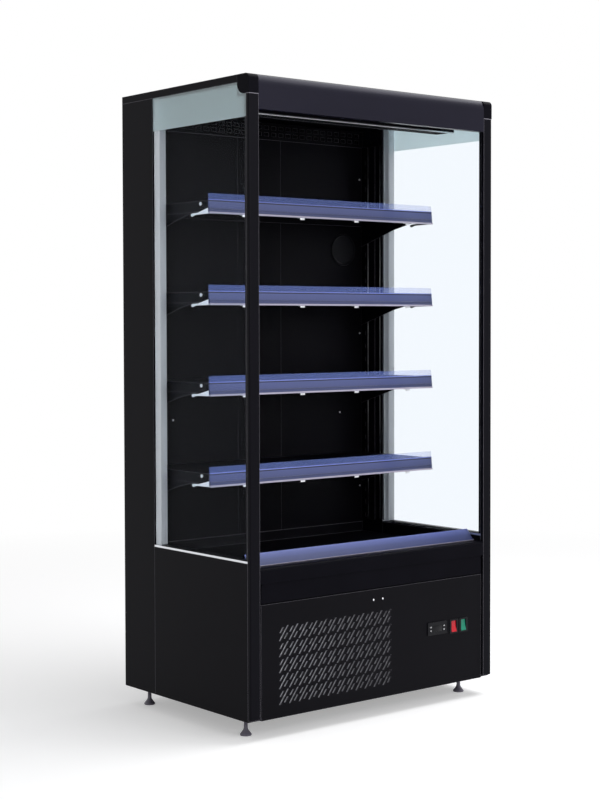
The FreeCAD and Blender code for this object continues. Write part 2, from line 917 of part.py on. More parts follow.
def base_price_rail():
    """Price rail lying on the ramp of the nose."""
    piece = body("base_price_rail")
    (foot_y, foot_z), _head = nose_points()
    length = root(s.ramp_run * s.ramp_run + s.ramp_rise * s.ramp_rise)
    along = (s.ramp_run / length, s.ramp_rise / length)

    def spot(distance, height):
        return (foot_y + along[0] * distance - along[1] * height,
                foot_z + along[1] * distance + along[0] * height)

    lip = s.base_rail_lip
    thin = s.base_rail_wall
    profile = [spot(0, 0), spot(length, 0), spot(length, thin), spot(lip, thin),
               spot(lip * 0.75, lip), spot(0, lip)]
    pad(piece, "YZ", [profile], -clear, clear)
    return keep(piece)


def mid_trim():
    piece = body("mid_trim")
    side = inner - s.trim_side_gap
    low = s.skirt_top + s.trim_gap
    outline = [(-side, low), (side, low), (side, s.trim_top, s.trim_round),
               (-side, s.trim_top, s.trim_round)]
    pad(piece, "XZ", [outline], face, fold_back)
    return keep(piece)


def service_panel():
    """Folded front of the machine space, with the slanted grille and control openings."""
    piece = body("service_panel")
    side = inner - s.trim_side_gap
    skin = s.skin
    pad(piece, "XZ", [box(-side, floor_line, side, s.skirt_top)], face, fold_back)
    inside = box(-side + skin, floor_line + skin, side - skin, s.skirt_top - skin)
    pocket(piece, "XZ", [inside], face + skin, fold_back)
    openings = [centred(control_x, s.control_z, s.control_body_width + s.gap * 2,
                        s.control_body_height + s.gap * 2)]
    for x in switch_places():
        openings.append(centred(x, s.switch_z, switch_body_width() + s.gap * 2,
                                switch_body_height() + s.gap * 2))
    pocket(piece, "XZ", openings, face, face + skin)
    cut = pocket(piece, "XZ", grille_cell(), face, face + skin)
    grid(piece, cut, "X", s.grille_pitch, s.grille_columns,
         "Z", s.grille_row_pitch, s.grille_rows)
    return keep(piece)


def centred(x, z, width, height):
    return box(x - width / 2, z - height / 2, x + width / 2, z + height / 2)


def grille_cell():
    """One long slanted slot between two short ones, as it repeats over the grille."""
    x = -half + s.grille_left
    z = s.grille_bottom
    lean = s.grille_slant / s.grille_long

    def slanted(foot_x, foot_z, tall):
        run = lean * tall
        return [(foot_x, foot_z), (foot_x + s.grille_slot, foot_z),
                (foot_x + s.grille_slot + run, foot_z + tall), (foot_x + run, foot_z + tall)]

    upper_x = x - s.grille_stagger + lean * s.grille_upper
    lower_x = x + s.grille_stagger + lean * s.grille_lower
    return [slanted(x, z, s.grille_long),
            slanted(upper_x, z + s.grille_upper, s.grille_short),
            slanted(lower_x, z + s.grille_lower, s.grille_short)]


# ---- controls --------------------------------------------------------------------------

def controller():
    """Digital thermostat with a sunken display and four keys."""
    piece = body("controller", control_x, face, s.control_z)
    proud = -s.face_inset + s.key_travel
    bezel = clipped(-s.bezel_width / 2, -s.bezel_height / 2, s.bezel_width / 2,
                    s.bezel_height / 2, s.control_clip)
    pad(piece, "XZ", [bezel], proud, 0)
    pad(piece, "XZ", [centred(0, 0, s.control_body_width, s.control_body_height)],
        0, s.control_body_depth)
    display = centred(0, 0, s.display_width, s.display_height)
    pocket(piece, "XZ", [display], proud, proud + s.display_sink)
    holes = [centred(x, z, s.key_width + s.gap * 2, s.key_height + s.gap * 2)
             for x, z in key_places()]
    depth = -s.face_inset + s.key_length + s.key_travel + s.gap
    pocket(piece, "XZ", holes, proud, depth)
    return keep(piece)


def key_places():
    return [(-s.key_x, s.key_z), (-s.key_x, -s.key_z), (s.key_x, s.key_z), (s.key_x, -s.key_z)]


def controller_keys():
    for number, (x, z) in enumerate(key_places(), 1):
        piece = body("controller_key_%d" % number, control_x + x, front, s.control_z + z)
        pad(piece, "XZ", [centred(0, 0, s.key_width, s.key_height)], 0, s.key_length)
        keep(piece)


def switch_places():
    return [switch_x, switch_x + s.switch_pitch]


def switch_body_width():
    return s.rocker_width + s.gap * 2 + s.switch_wall * 2


def switch_body_height():
    return s.rocker_height + s.gap * 4 + s.switch_wall * 2


def switch_housings():
    """Bezels with a hollow body behind, one round each rocker."""
    piece = body("switch_housings", z=s.switch_z)
    window_width = s.rocker_width + s.gap * 2
    window_height = s.rocker_height + s.gap * 4
    depth = front + s.pivot_depth + s.rocker_depth
    floor_depth = depth + s.switch_wall
    for x in switch_places():
        bezel = clipped(x - s.switch_width / 2, -s.switch_height / 2,
                        x + s.switch_width / 2, s.switch_height / 2, s.control_clip)
        window = centred(x, 0, window_width, window_height)
        pad(piece, "XZ", [bezel, window], front + s.rocker_dish, face)
        shell = centred(x, 0, switch_body_width(), switch_body_height())
        pad(piece, "XZ", [shell, window], face, depth)
        pad(piece, "XZ", [shell], depth, floor_depth)
    return keep(piece)


def rockers():
    """Rockers that tip about their middle, each resting on its lower half."""
    half_height = s.rocker_height / 2
    profile = [(-s.rocker_dish * 1.5, -half_height), (-s.rocker_dish / 2, 0),
               (-s.rocker_dish * 1.5, half_height), (0, half_height),
               (s.rocker_depth / 2, half_height / 2), (s.rocker_depth / 2, -half_height / 2),
               (0, -half_height)]
    for name, x in zip(("rocker_red", "rocker_green"), switch_places()):
        turn = (FreeCAD.Vector(1, 0, 0), -s.rocker_tilt.value)
        piece = body(name, x, front + s.pivot_depth, s.switch_z, turn)
        pad(piece, "YZ", [profile], -s.rocker_width / 2, s.rocker_width / 2)
        keep(piece)


# ---- refrigeration ---------------------------------------------------------------------

def finned_coil(label, middle, width, near, depth, low, tall):
    """Fins on a tube core between two end plates."""
    piece = body(label)
    left = middle - width / 2
    right = middle + width / 2
    far = near + depth
    core_near = near + (depth - s.coil_core) / 2
    core = box(left, core_near, right, core_near + s.coil_core)
    rim = s.coil_core / 2
    pad(piece, "XY", [core], low + rim, low + tall - rim)
    fin = pad(piece, "YZ", [box(near, low, far, low + tall)], left, left + s.fin)
    count = whole((width - s.fin) / s.fin_pitch) + 1
    grid(piece, fin, "X", s.fin_pitch, count)
    pad(piece, "YZ", [box(near, low, far, low + tall)], right - s.fin * 2, right)
    return keep(piece)


def fan(label, x, y, z, hub, tip):
    """Axial fan whose hub is the rotor of its motor, with flat pitched blades."""
    piece = body(label, x, y, z)
    depth = s.fan_depth
    pad(piece, "XZ", [(0, 0, hub)], 0, depth)
    run = cosine(s.blade_pitch) * s.blade_chord / 2
    rise = sine(s.blade_pitch) * s.blade_chord / 2
    thin_u = sine(s.blade_pitch) * s.blade_sheet / 2
    thin_v = cosine(s.blade_pitch) * s.blade_sheet / 2
    middle = depth / 2
    section = [(-run - thin_u, middle - rise + thin_v), (-run + thin_u, middle - rise - thin_v),
               (run + thin_u, middle + rise - thin_v), (run - thin_u, middle + rise + thin_v)]
    blade = pad(piece, "XY", [section], hub - s.fan_clearance, tip)
    spin(piece, blade, s.blade_count)
    return keep(piece)


def fan_mount(label, middle, width, y, low, high, fan_z, tip, hub):
    """Plate with a hole round the fan, and a bridge behind it with the motor's stator."""
    piece = body(label)
    thin = s.sheet
    hole = tip + s.fan_clearance
    left = middle - width / 2
    right = middle + width / 2
    bridge = y + thin + s.fan_clearance + s.fan_depth + s.gap
    pad(piece, "XZ", [box(left, low, right, high), (middle, fan_z, hole)], y, y + thin)
    strut_low = fan_z - s.strut_height / 2
    strut_high = fan_z + s.strut_height / 2
    for side in SIDES.values():
        near, far = across(side, hole + thin, hole + thin * 2)
        leg = box(middle + near, strut_low, middle + far, strut_high)
        pad(piece, "XZ", [leg], y + thin, bridge)
    reach = hole + thin * 2
    strut = box(middle - reach, strut_low, middle + reach, strut_high)
    pad(piece, "XZ", [strut], bridge, bridge + thin)
    stator = box(middle - hub, fan_z - hub, middle + hub, fan_z + hub)
    pad(piece, "XZ", [stator], bridge, bridge + s.stator_depth)
    return keep(piece)


def compressor():
    """Hermetic can with a sloping top, on a base plate with four rubber blocks."""
    piece = body("compressor", s.compressor_x, s.compressor_y, floor_line + s.pan_sheet)
    mount = s.compressor_mount
    radius = s.compressor_radius
    height = s.compressor_height
    shoulder = height - s.compressor_dome
    profile = [(0, mount), (radius, mount), (radius, shoulder), (radius / 2, height),
               (0, height)]
    revolve(piece, "XZ", profile)
    plate = s.compressor_base / 2
    pad(piece, "XY", [box(-plate, -plate, plate, plate)], mount, mount + s.sheet)
    reach = plate - mount
    for x in (-reach, reach):
        for y in (-reach, reach):
            pad(piece, "XY", [centred(x, y, mount, mount)], 0, mount)
    terminal = box(radius - mount, -mount * 2, radius + mount, mount * 2)
    pad(piece, "XY", [terminal], height / 3, height * 0.6)
    return keep(piece)


def refrigeration():
    pan = floor_line + s.pan_sheet
    coil_near = front + s.condenser_from_front
    finned_coil("condenser", coil_x, s.condenser_width, coil_near, s.condenser_depth,
                pan, s.condenser_height)
    plate_y = coil_near + s.condenser_depth
    fan_y = plate_y + s.sheet + s.fan_clearance
    fan("condenser_fan", coil_x, fan_y, s.condenser_fan_z, s.condenser_hub,
        s.condenser_fan_radius)
    fan_mount("condenser_fan_mount", coil_x, s.condenser_width, plate_y, pan,
              pan + s.condenser_height, s.condenser_fan_z, s.condenser_fan_radius,
              s.condenser_hub)
    finned_coil("evaporator", as_dim(0), s.evaporator_width, s.evaporator_y,
                s.evaporator_depth, tub_inside, s.evaporator_height)
    fan("evaporator_fan", 0, s.fan_plate_y + s.sheet + s.fan_clearance, s.evaporator_fan_z,
        s.evaporator_hub, s.evaporator_fan_radius)
    fan_mount("evaporator_fan_mount", as_dim(0), 2 * (clear - s.tub_side - s.gap),
              s.fan_plate_y, tub_inside, tub_top, s.evaporator_fan_z,
              s.evaporator_fan_radius, s.evaporator_hub)
    compressor()


# ---- the whole fridge ------------------------------------------------------------------

chassis_pan()
feet()
for name, side in SIDES.items():
    side_panel(name, side)
    rear_column(name, side)
    post(name, side)
    side_glass(name, side)
rear_wall()
roof_panel()
canopy_end_caps()
canopy_fascia()
canopy_duct()
honeycomb()
glass_spacers()
glass_channels()
back_panels()
outlet_grille()
shelf_uprights()
round_cover()
for number, level in enumerate(shelf_levels, 1):
    shelf(number, level)
shelf_brackets()
insulated_tub()
deck_tray()
return_grille()
nose()
base_price_rail()
mid_trim()
service_panel()
controller()
controller_keys()
switch_housings()
rockers()
refrigeration()

doc.recompute()
for item in doc.Objects:
    if "Invalid" in item.State or "Error" in item.State:
        raise RuntimeError("%s failed: %s" % (item.Label, item.State))
for node in nodes:
    if node.Shape.isNull() or not node.Shape.isValid():
        raise RuntimeError("%s has no valid shape" % node.Label)
os.makedirs("parts", exist_ok=True)
for node in nodes:
    node.Shape.exportStep("parts/%s.step" % node.Label)
print("%d nodes, %d solids" % (len(nodes), sum(len(n.Shape.Solids) for n in nodes)))
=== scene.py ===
import json
import math

import bmesh
import bpy
from mathutils import Matrix, Vector


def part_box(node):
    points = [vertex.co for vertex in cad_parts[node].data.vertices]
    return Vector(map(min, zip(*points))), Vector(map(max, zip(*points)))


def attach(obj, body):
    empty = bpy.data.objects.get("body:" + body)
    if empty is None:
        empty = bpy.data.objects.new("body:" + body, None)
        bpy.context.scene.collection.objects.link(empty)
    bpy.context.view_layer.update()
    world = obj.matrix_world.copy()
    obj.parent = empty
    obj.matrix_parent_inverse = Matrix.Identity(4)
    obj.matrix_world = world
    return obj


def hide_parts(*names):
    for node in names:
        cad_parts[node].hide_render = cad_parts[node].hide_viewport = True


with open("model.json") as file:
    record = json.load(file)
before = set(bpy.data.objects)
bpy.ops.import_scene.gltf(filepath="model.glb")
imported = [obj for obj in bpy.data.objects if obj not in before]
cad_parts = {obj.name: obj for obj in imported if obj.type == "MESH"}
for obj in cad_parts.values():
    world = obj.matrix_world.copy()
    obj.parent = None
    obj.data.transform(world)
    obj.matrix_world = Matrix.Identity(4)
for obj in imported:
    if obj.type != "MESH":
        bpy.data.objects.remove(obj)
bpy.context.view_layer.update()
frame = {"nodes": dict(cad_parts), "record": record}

bl_info = {
    "name": "Open multideck display fridge",
    "version": (1, 0, 0),
    "blender": (4, 5, 0),
    "location": "3D View > Sidebar > Fridge",
    "description": "Finishes, small fittings and studio of an open multideck display fridge",
    "category": "Object",
}

IMAGE_HEIGHT = 800                # pixels of the photograph's long side
SENSOR = 36.0                     # millimetres of the long side
SHELVES = (1, 2, 3, 4)
KEYS = (1, 2, 3, 4)
FEET = ("front_left", "front_right", "rear_left", "rear_right")
SIDES = (-1, 1)
WHITE = (1.0, 1.0, 1.0)
EDGE_HIGHLIGHT = 0.0018                # metres of an edge that gets a pale painted highlight
POST_HIGHLIGHT = 0.0024                # the same on the posts


# ---- settings ------------------------------------------------------------------------------

def length(name, description, default):
    return bpy.props.FloatProperty(
        name=name, description=description, default=default, min=0.0, unit="LENGTH", precision=5)


def colour(name, description, default):
    return bpy.props.FloatVectorProperty(
        name=name, description=description, default=default, size=3, min=0.0, max=1.0,
        subtype="COLOR")


def share(name, description, default):
    return bpy.props.FloatProperty(
        name=name, description=description, default=default, min=0.0, max=1.0, subtype="FACTOR")


class FridgeFinishes(bpy.types.PropertyGroup):
    """Colours of the finishes."""
    powder: colour("Powder coat", "Black of the steel casing", (0.0030, 0.0028, 0.0042))
    extrusion: colour("Extrusion", "Black of the posts, trim and nose", (0.0045, 0.0043, 0.0070))
    moulding: colour("Moulding", "Black of the moulded plastic", (0.0055, 0.0055, 0.0075))
    foot: colour("Foot plastic", "Grey of the levelling feet", (0.095, 0.088, 0.115))
    glass: colour("Glass", "Tint of the side panes", (0.95, 0.975, 1.0))
    glare: colour("Glare", "Share of light that the coated panes mirror", (0.30, 0.33, 0.42))
    band: colour("Printed band", "Frosted band at the head of the panes", (0.84, 0.97, 1.0))
    fascia: colour("Fascia", "Black of the fascia", (0.0036, 0.0033, 0.0085))
    # Pale colour of the highlight painted along the black edges
    worn: colour("Worn edge", "Edges where the black coat is thin", (0.26, 0.25, 0.29))
    bright: colour("Bright metal", "Mill finish aluminium", (0.80, 0.82, 0.86))
    zinc: colour("Zinc", "Plated steel of screws, clips and pins", (0.85, 0.86, 0.90))
    rail: colour("Rail", "Grey blue of the price rails", (0.066, 0.084, 0.225))
    # Colour of the highlight painted along the rails' lower lip
    rail_lip: colour("Rail lip", "Pale lower lip of the price rails", (0.46, 0.43, 0.55))
    riser: colour("Riser", "Tint of the clear risers", (0.25, 0.36, 0.95))
    red: colour("Red rocker", "Plastic of the red rocker", (0.50, 0.006, 0.018))
    green: colour("Green rocker", "Plastic of the green rocker", (0.003, 0.20, 0.12))
    edge_bar: colour("Edge bar", "Milky bars at the rear edge of the panes", (0.93, 0.96, 1.0))
    filter_mat: colour("Filter", "Fibre of the air filter", (0.88, 0.88, 0.94))
    mark: colour("Key marks", "Print on the controller's keys", (0.96, 0.96, 1.0))
    copper: colour("Copper", "Bends of the coils", (0.72, 0.36, 0.22))
    coat_shine: share("Coat shine", "Specular level of the black coats", 0.045)


class FridgeFittings(bpy.types.PropertyGroup):
    """Sizes of the small fittings."""
    screw_head: length("Screw head", "Diameter of a screw head", 0.0065)
    screw_rise: length("Screw rise", "Height of a screw head", 0.0018)
    clip_width: length("Clip width", "Width of a clip under a price rail", 0.018)
    clip_drop: length("Clip drop", "How far a clip hangs below its rail", 0.0065)
    clip_pitch: length("Clip pitch", "Distance between clips", 0.227)
    plate: length("Plate", "Sheet of the clips and end plates", 0.0015)
    pin: length("Pin", "Diameter of the pin at a shelf's end", 0.011)
    pin_height: length("Pin height", "Pin above the underside of the rail", 0.031)
    pin_depth: length("Pin depth", "Pin behind the rail's back", 0.042)
    fin_pitch: length("Fin pitch", "Distance between the coil fins", 0.004)
    fin_sheet: length("Fin sheet", "Thickness of a coil fin", 0.0005)
    cell: length("Honeycomb cell", "Width of an air curtain cell", 0.012)
    cell_wall: length("Cell wall", "Thickness between the cells", 0.0008)
    crown_height: length("Crown height", "Height of the fascia's eased crown", 0.034)
    crown_depth: length("Crown depth", "Depth of the fascia's eased crown", 0.015)
    edge_bar: length("Edge bar", "Width of the seal at the panes' front edge", 0.014)
    seal: length("Seal", "Height of the seals above and below the panes", 0.006)
    rear_bar: length("Rear bar", "Width of the bar at the panes' rear edge", 0.030)
    upright_depth: length("Upright depth", "How far the uprights stand off the sides", 0.006)
    pane: length("Pane", "Thickness of one pane", 0.004)
    filter_depth: length("Filter depth", "Filter behind the service panel's face", 0.0030)
    pleat: length("Pleat", "Width of one fold of the filter", 0.006)
    filter_margin: length("Filter margin", "Filter past each end of the condenser", 0.010)
    bead: length("Rail bead", "Radius of the beads along a price rail", 0.0011)
    band_height: length("Band height", "Height of the printed band on the panes", 0.101)
    # Height of the highlight line painted at the upper end of a post
    bare_end: length("Bare end", "Bright line at the upper end of a post", 0.0018)
    cell_height: length("Cell height", "Height of an air curtain cell", 0.008)
    fascia_sheet: length("Fascia sheet", "Sheet of the fascia", 0.0025)
    fascia_lip: length("Fascia lip", "Depth of the fascia's lower lip", 0.020)
    filter_fold: length("Filter fold", "Depth of one fold of the filter", 0.003)
    filter_sheet: length("Filter sheet", "Thickness of the filter's mat", 0.0015)
    bend: length("Coil bend", "Radius of the tube at a coil's ends", 0.004)
    bend_reach: length("Bend reach", "How far the bends stand out of a coil", 0.010)
    foot_stem: length("Foot stem", "Radius of a foot's threaded stem", 0.006)
    thread_pitch: length("Thread pitch", "Pitch of the thread on a foot", 0.0018)
    display_width: length("Display width", "Width of the display window", 0.0396)
    display_height: length("Display height", "Height of the display window", 0.0196)


class FridgeStudio(bpy.types.PropertyGroup):
    """Camera and light."""
    camera_place: bpy.props.FloatVectorProperty(
        name="Camera", description="Place of the camera", default=(-3.341, -3.993, 1.223),
        size=3, subtype="TRANSLATION", unit="LENGTH")
    camera_yaw: bpy.props.FloatProperty(
        name="Yaw", description="Camera's turn from +Y towards +X", default=0.68241,
        subtype="ANGLE", unit="ROTATION")
    camera_pitch: bpy.props.FloatProperty(
        name="Pitch", description="Camera's dip below the horizon", default=0.03377,
        subtype="ANGLE", unit="ROTATION")
    camera_roll: bpy.props.FloatProperty(
        name="Roll", description="Camera's turn about its own axis", default=-0.00256,
        subtype="ANGLE", unit="ROTATION")
    focal_pixels: bpy.props.FloatProperty(
        name="Focal length", description="Focal length in pixels of the photograph",
        default=1610.6, subtype="PIXEL")
    shift_right: bpy.props.FloatProperty(
        name="Shift right", description="Lens shift to the right, as a share of the long side",
        default=0.01725, subtype="FACTOR")
    shift_up: bpy.props.FloatProperty(
        name="Shift up", description="Lens shift upwards, as a share of the long side",
        default=-0.02855, subtype="FACTOR")
    daylight: share("Daylight", "Strength of the studio's even light", 0.42)
    floor_lift: share("Floor lift", "Extra white of the floor in the picture", 0.35)


def finishes():
    return bpy.context.scene.fridge_finishes


def fittings():
    return bpy.context.scene.fridge_fittings


# ---- node trees ----------------------------------------------------------------------------

class Wire:
    """A socket in a node tree that takes part in sums, each adding a Math node."""

    def __init__(self, tree, socket=None):
        self.tree = tree
        self.socket = socket

    def node(self, kind, settings=None, sockets=None, output=0):
        """Adds a node: its settings first, then the values or links of its sockets."""
        made = self.tree.nodes.new(kind)
        for name, value in (settings or {}).items():
            if name == "stops":
                ramp = made.color_ramp.elements
                ramp.remove(ramp[1])
                ramp[0].position, ramp[0].color = value[0][0], (*value[0][1], 1.0)
                for place, shade in value[1:]:
                    ramp.new(place).color = (*shade, 1.0)
            else:
                setattr(made, name, value)
        for name, value in (sockets or {}).items():
            if isinstance(value, Wire):
                self.tree.links.new(value.socket, made.inputs[name])
            elif isinstance(value, bpy.types.bpy_prop_array) or isinstance(value, tuple):
                wanted = len(made.inputs[name].default_value)
                made.inputs[name].default_value = (*value, 1.0)[:wanted]
            else:
                made.inputs[name].default_value = value
        return Wire(self.tree, made.outputs[output] if len(made.outputs) else None)

    def math(self, operation, first, second):
        return self.node("ShaderNodeMath", {"operation": operation}, {0: first, 1: second})

    def __add__(self, other):
        return self.math("ADD", self, other)

    def __sub__(self, other):
        return self.math("SUBTRACT", self, other)

    def __rsub__(self, other):
        return self.math("SUBTRACT", other, self)

    def __mul__(self, other):
        return self.math("MULTIPLY", self, other)

    def __truediv__(self, other):
        return self.math("DIVIDE", self, other)

    def __mod__(self, other):
        return self.math("FLOORED_MODULO", self, other)

    def __gt__(self, other):
        return self.math("GREATER_THAN", self, other)

    __radd__ = __add__
    __rmul__ = __mul__


def object_place(start, stretch=(1.0, 1.0, 1.0)):
    """Object coordinates, stretched along each axis."""
    place = start.node("ShaderNodeTexCoord", output="Object")
    return start.node("ShaderNodeMapping", None, {"Vector": place, "Scale": stretch})


def noise(start, where, scale, detail=2.0):
    return start.node("ShaderNodeTexNoise", None,
                      {"Vector": where, "Scale": scale, "Detail": detail}, output="Fac")


def blend(start, share_of_second, first, second):
    """Mix of two colours."""
    return start.node("ShaderNodeMix", {"data_type": "RGBA"},
                      {0: share_of_second, 6: first, 7: second}, output=2)


def dim(tint, factor):
    """A colour made darker, or lighter, by a factor."""
    return tuple(min(1.0, c * factor) for c in tint)


def mottled(start, share_of_second, tint, factor):
    """Mix of a colour and its own darker or lighter shade."""
    return blend(start, share_of_second, tuple(tint), dim(tint, factor))


def reading(start, axis):
    """Object coordinate along one axis."""
    place = start.node("ShaderNodeTexCoord", output="Object")
    return start.node("ShaderNodeSeparateXYZ", None, {"Vector": place}, output=axis)


def relief(start, height, depth, round_edge=0.0):
    """Normal with a fine relief and, where asked, softened edges."""
    sockets = {"Height": height, "Distance": depth, "Strength": 1.0}
    if round_edge:
        sockets["Normal"] = start.node("ShaderNodeBevel", {"samples": 4}, {"Radius": round_edge})
    return start.node("ShaderNodeBump", None, sockets)


def edge_wear(start, radius):
    """1 along the edges, where a highlight is painted, and 0 on the flats."""
    rounded = start.node("ShaderNodeBevel", {"samples": 8}, {"Radius": radius})
    flat = start.node("ShaderNodeNewGeometry", output="True Normal")
    along = start.node("ShaderNodeVectorMath", {"operation": "DOT_PRODUCT"},
                       {0: rounded, 1: flat}, "Value")
    return start.node("ShaderNodeMapRange", None,
                      {"Value": along, "From Min": 0.985, "From Max": 0.88})


def worn_through(start, painted_glint, coat):
    """A coat with a pale painted highlight mixed in along its edges."""
    return blend(start, painted_glint, coat, tuple(finishes().worn))


def shader(start, **sockets):
    """Principled shader with sockets named in words joined by underscores."""
    return start.node("ShaderNodeBsdfPrincipled", None,
                      {name.replace("_", " "): value for name, value in sockets.items()})


def material(name, build):
    """The named material, built on its first use."""
    made = bpy.data.materials.get(name)
    if made is None:
        made = bpy.data.materials.new(name)
        made.use_nodes = True
        made.node_tree.nodes.clear()
        start = Wire(made.node_tree)
        start.node("ShaderNodeOutputMaterial", None, {"Surface": build(start)})
    return made


# ---- finishes ------------------------------------------------------------------------------

def powder_coat(start):
    """Satin black powder coat: a fine orange peel and faint cloudiness."""
    where = object_place(start)
    cloud = noise(start, where, 3.5)
    peel = noise(start, where, 900.0, 1.0)
    coat = mottled(start, cloud, finishes().powder, 1.6)
    # painted highlight: the pale colour mixed in along the edges
    painted_glint = edge_wear(start, EDGE_HIGHLIGHT) * 0.6
    return shader(
        start, Base_Color=worn_through(start, painted_glint, coat),
        Roughness=cloud * 0.12 + 0.36, Specular_IOR_Level=finishes().coat_shine,
        Normal=relief(start, peel, 0.00006, 0.0012))


def black_extrusion(start):
    """Smooth satin black with faint lines along the extrusion."""
    where = object_place(start, (4.0, 260.0, 260.0))
    lines = noise(start, where, 1.0)
    cloud = noise(start, object_place(start), 9.0, 4.0)
    coat = mottled(start, cloud, finishes().extrusion, 1.7)
    # painted highlight: the pale colour mixed in along the edges
    painted_glint = edge_wear(start, EDGE_HIGHLIGHT) * 0.6
    return shader(
        start, Base_Color=worn_through(start, painted_glint, coat),
        Roughness=lines * 0.10 + 0.27, Specular_IOR_Level=finishes().coat_shine,
        Normal=relief(start, lines, 0.00004, 0.0010))


def fascia_black(start):
    """Glossier black of the fascia, which shows a soft light along its crown."""
    lines = noise(start, object_place(start, (4.0, 260.0, 260.0)), 1.0)
    cloud = noise(start, object_place(start), 9.0, 4.0)
    return shader(
        start, Base_Color=mottled(start, cloud, finishes().fascia, 1.5),
        Roughness=lines * 0.08 + 0.26, Specular_IOR_Level=0.17,
        Specular_Tint=(0.80, 0.78, 1.0),
        Normal=relief(start, lines, 0.00003))


def trim_black(start):
    """Deepest black of the nose, the trim under it and the canopy's end caps."""
    where = object_place(start)
    cloud = noise(start, where, 9.0, 3.0)
    grain = noise(start, where, 1100.0, 1.0)
    base = dim(finishes().extrusion, 0.7)
    return shader(
        start, Base_Color=mottled(start, cloud, base, 1.7),
        Roughness=cloud * 0.10 + 0.30, Specular_IOR_Level=0.02,
        Normal=relief(start, grain, 0.00004, 0.0010))


def post_extrusion(start):
    """Satin black post with a painted highlight along its edges and a painted bright line at its
    upper end.
    """
    # painted highlight: a bright line across the post's upper end
    painted_top_line = reading(start, "Z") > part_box("post_left")[1].z - fittings().bare_end
    lines = noise(start, object_place(start, (260.0, 260.0, 4.0)), 1.0)
    painted_glint = start.math("MAXIMUM", edge_wear(start, POST_HIGHLIGHT) * 0.7, painted_top_line)
    return shader(
        start, Base_Color=worn_through(start, painted_glint, tuple(finishes().extrusion)),
        Roughness=lines * 0.10 + 0.27, Specular_IOR_Level=finishes().coat_shine,
        Normal=relief(start, lines, 0.00004, 0.0010))


def moulded_black(start):
    """Black moulded plastic with a spark-eroded grain."""
    where = object_place(start)
    grain = noise(start, where, 1400.0, 2.0)
    cloud = noise(start, where, 14.0)
    base = finishes().moulding
    return shader(
        start, Base_Color=mottled(start, cloud, base, 1.5),
        Roughness=cloud * 0.14 + 0.30, Specular_IOR_Level=0.12,
        Normal=relief(start, grain, 0.00005, 0.0006))


def foot_grey(start):
    """Scuffed grey plastic of the levelling feet."""
    where = object_place(start)
    grain = noise(start, where, 1200.0, 2.0)
    scuff = noise(start, where, 120.0, 4.0)
    base = finishes().foot
    return shader(
        start, Base_Color=mottled(start, scuff, base, 1.8),
        Roughness=scuff * 0.25 + 0.35, Specular_IOR_Level=0.5,
        Normal=relief(start, grain, 0.00008, 0.0005))


def pane_glass(start):
    """Clear pane with a frosted printed band at its head."""
    size = fittings()
    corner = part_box("side_glass_right")[1]
    outer_pane = start.math("ABSOLUTE", reading(start, "X"), 0.0) > corner.x - 2 * size.pane
    band = (reading(start, "Z") > corner.z - size.band_height) * outer_pane
    frost = noise(start, object_place(start), 500.0, 3.0)
    clear = shader(
        start, Base_Color=tuple(finishes().glass), Roughness=0.0, IOR=1.05,
        Specular_Tint=tuple(finishes().glare), Transmission_Weight=1.0)
    printed = shader(
        start, Base_Color=mottled(start, frost, finishes().band, 0.92),
        Roughness=frost * 0.2 + 0.5, Transmission_Weight=0.66, IOR=1.2,
        Normal=relief(start, frost, 0.00003))
    return start.node("ShaderNodeMixShader", None, {0: band, 1: clear, 2: printed})


def brushed(start, tint, along, roughness):
    """Bright metal with streaks along one axis."""
    stretch = tuple(6.0 if axis == along else 700.0 for axis in range(3))
    streak = noise(start, object_place(start, stretch), 1.0, 3.0)
    spots = noise(start, object_place(start), 60.0, 3.0)
    return shader(
        start, Base_Color=mottled(start, spots, tint, 0.82),
        Metallic=1.0, Roughness=streak * 0.18 + roughness,
        Normal=relief(start, streak, 0.00004, 0.0004))


def bright_aluminium(start):
    return brushed(start, finishes().bright, 2, 0.28)


def bright_channel(start):
    return brushed(start, finishes().bright, 1, 0.22)


def zinc_plate(start):
    return brushed(start, finishes().zinc, 0, 0.20)


def edge_bar_finish(start):
    """Milky white bar that lets some light through."""
    where = object_place(start, (500.0, 500.0, 5.0))
    streak = noise(start, where, 1.0, 2.0)
    tint = finishes().edge_bar
    return shader(
        start, Base_Color=mottled(start, streak, tint, 0.95),
        Transmission_Weight=0.5, IOR=1.2, Roughness=streak * 0.1 + 0.15,
        Normal=relief(start, streak, 0.00003))


def filter_mat(start):
    """Pale fibre mat, with painted shade darkening it towards its right end."""
    where = object_place(start)
    fibre = noise(start, where, 1500.0, 3.0)
    cloud = noise(start, where, 14.0, 2.0)
    tint = finishes().filter_mat
    low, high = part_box("condenser")
    # painted shade: the mat is darkened towards its right end
    across = reading(start, "X") + cloud * 0.08
    painted_fade = start.node("ShaderNodeMapRange", None,
                      {"Value": across, "From Min": low.x, "From Max": high.x})
    return shader(
        start, Base_Color=mottled(start, painted_fade, tint, 0.45), Roughness=fibre * 0.2 + 0.7,
        Normal=relief(start, fibre, 0.0002))


def copper_bend(start):
    return brushed(start, finishes().copper, 0, 0.25)


# Painted light and shade up the rails: bright bands painted as highlights on the lip and the top
# edge, a dark band painted as the shadow under the riser, and the sill painted lighter towards
# its top.
RAIL_PAINTED_LIGHT = ((0.14, 0.75), (0.34, 0.62), (0.42, 0.95), (0.85, 1.12), (0.86, 0.06),
               (0.93, 0.06), (0.94, 2.8))      # share of the height, factor on the rail's colour, painting its light and shade
SILL_PAINTED_LIGHT = ((0.15, 0.7), (0.50, 0.9), (0.85, 1.5), (0.98, 1.9))


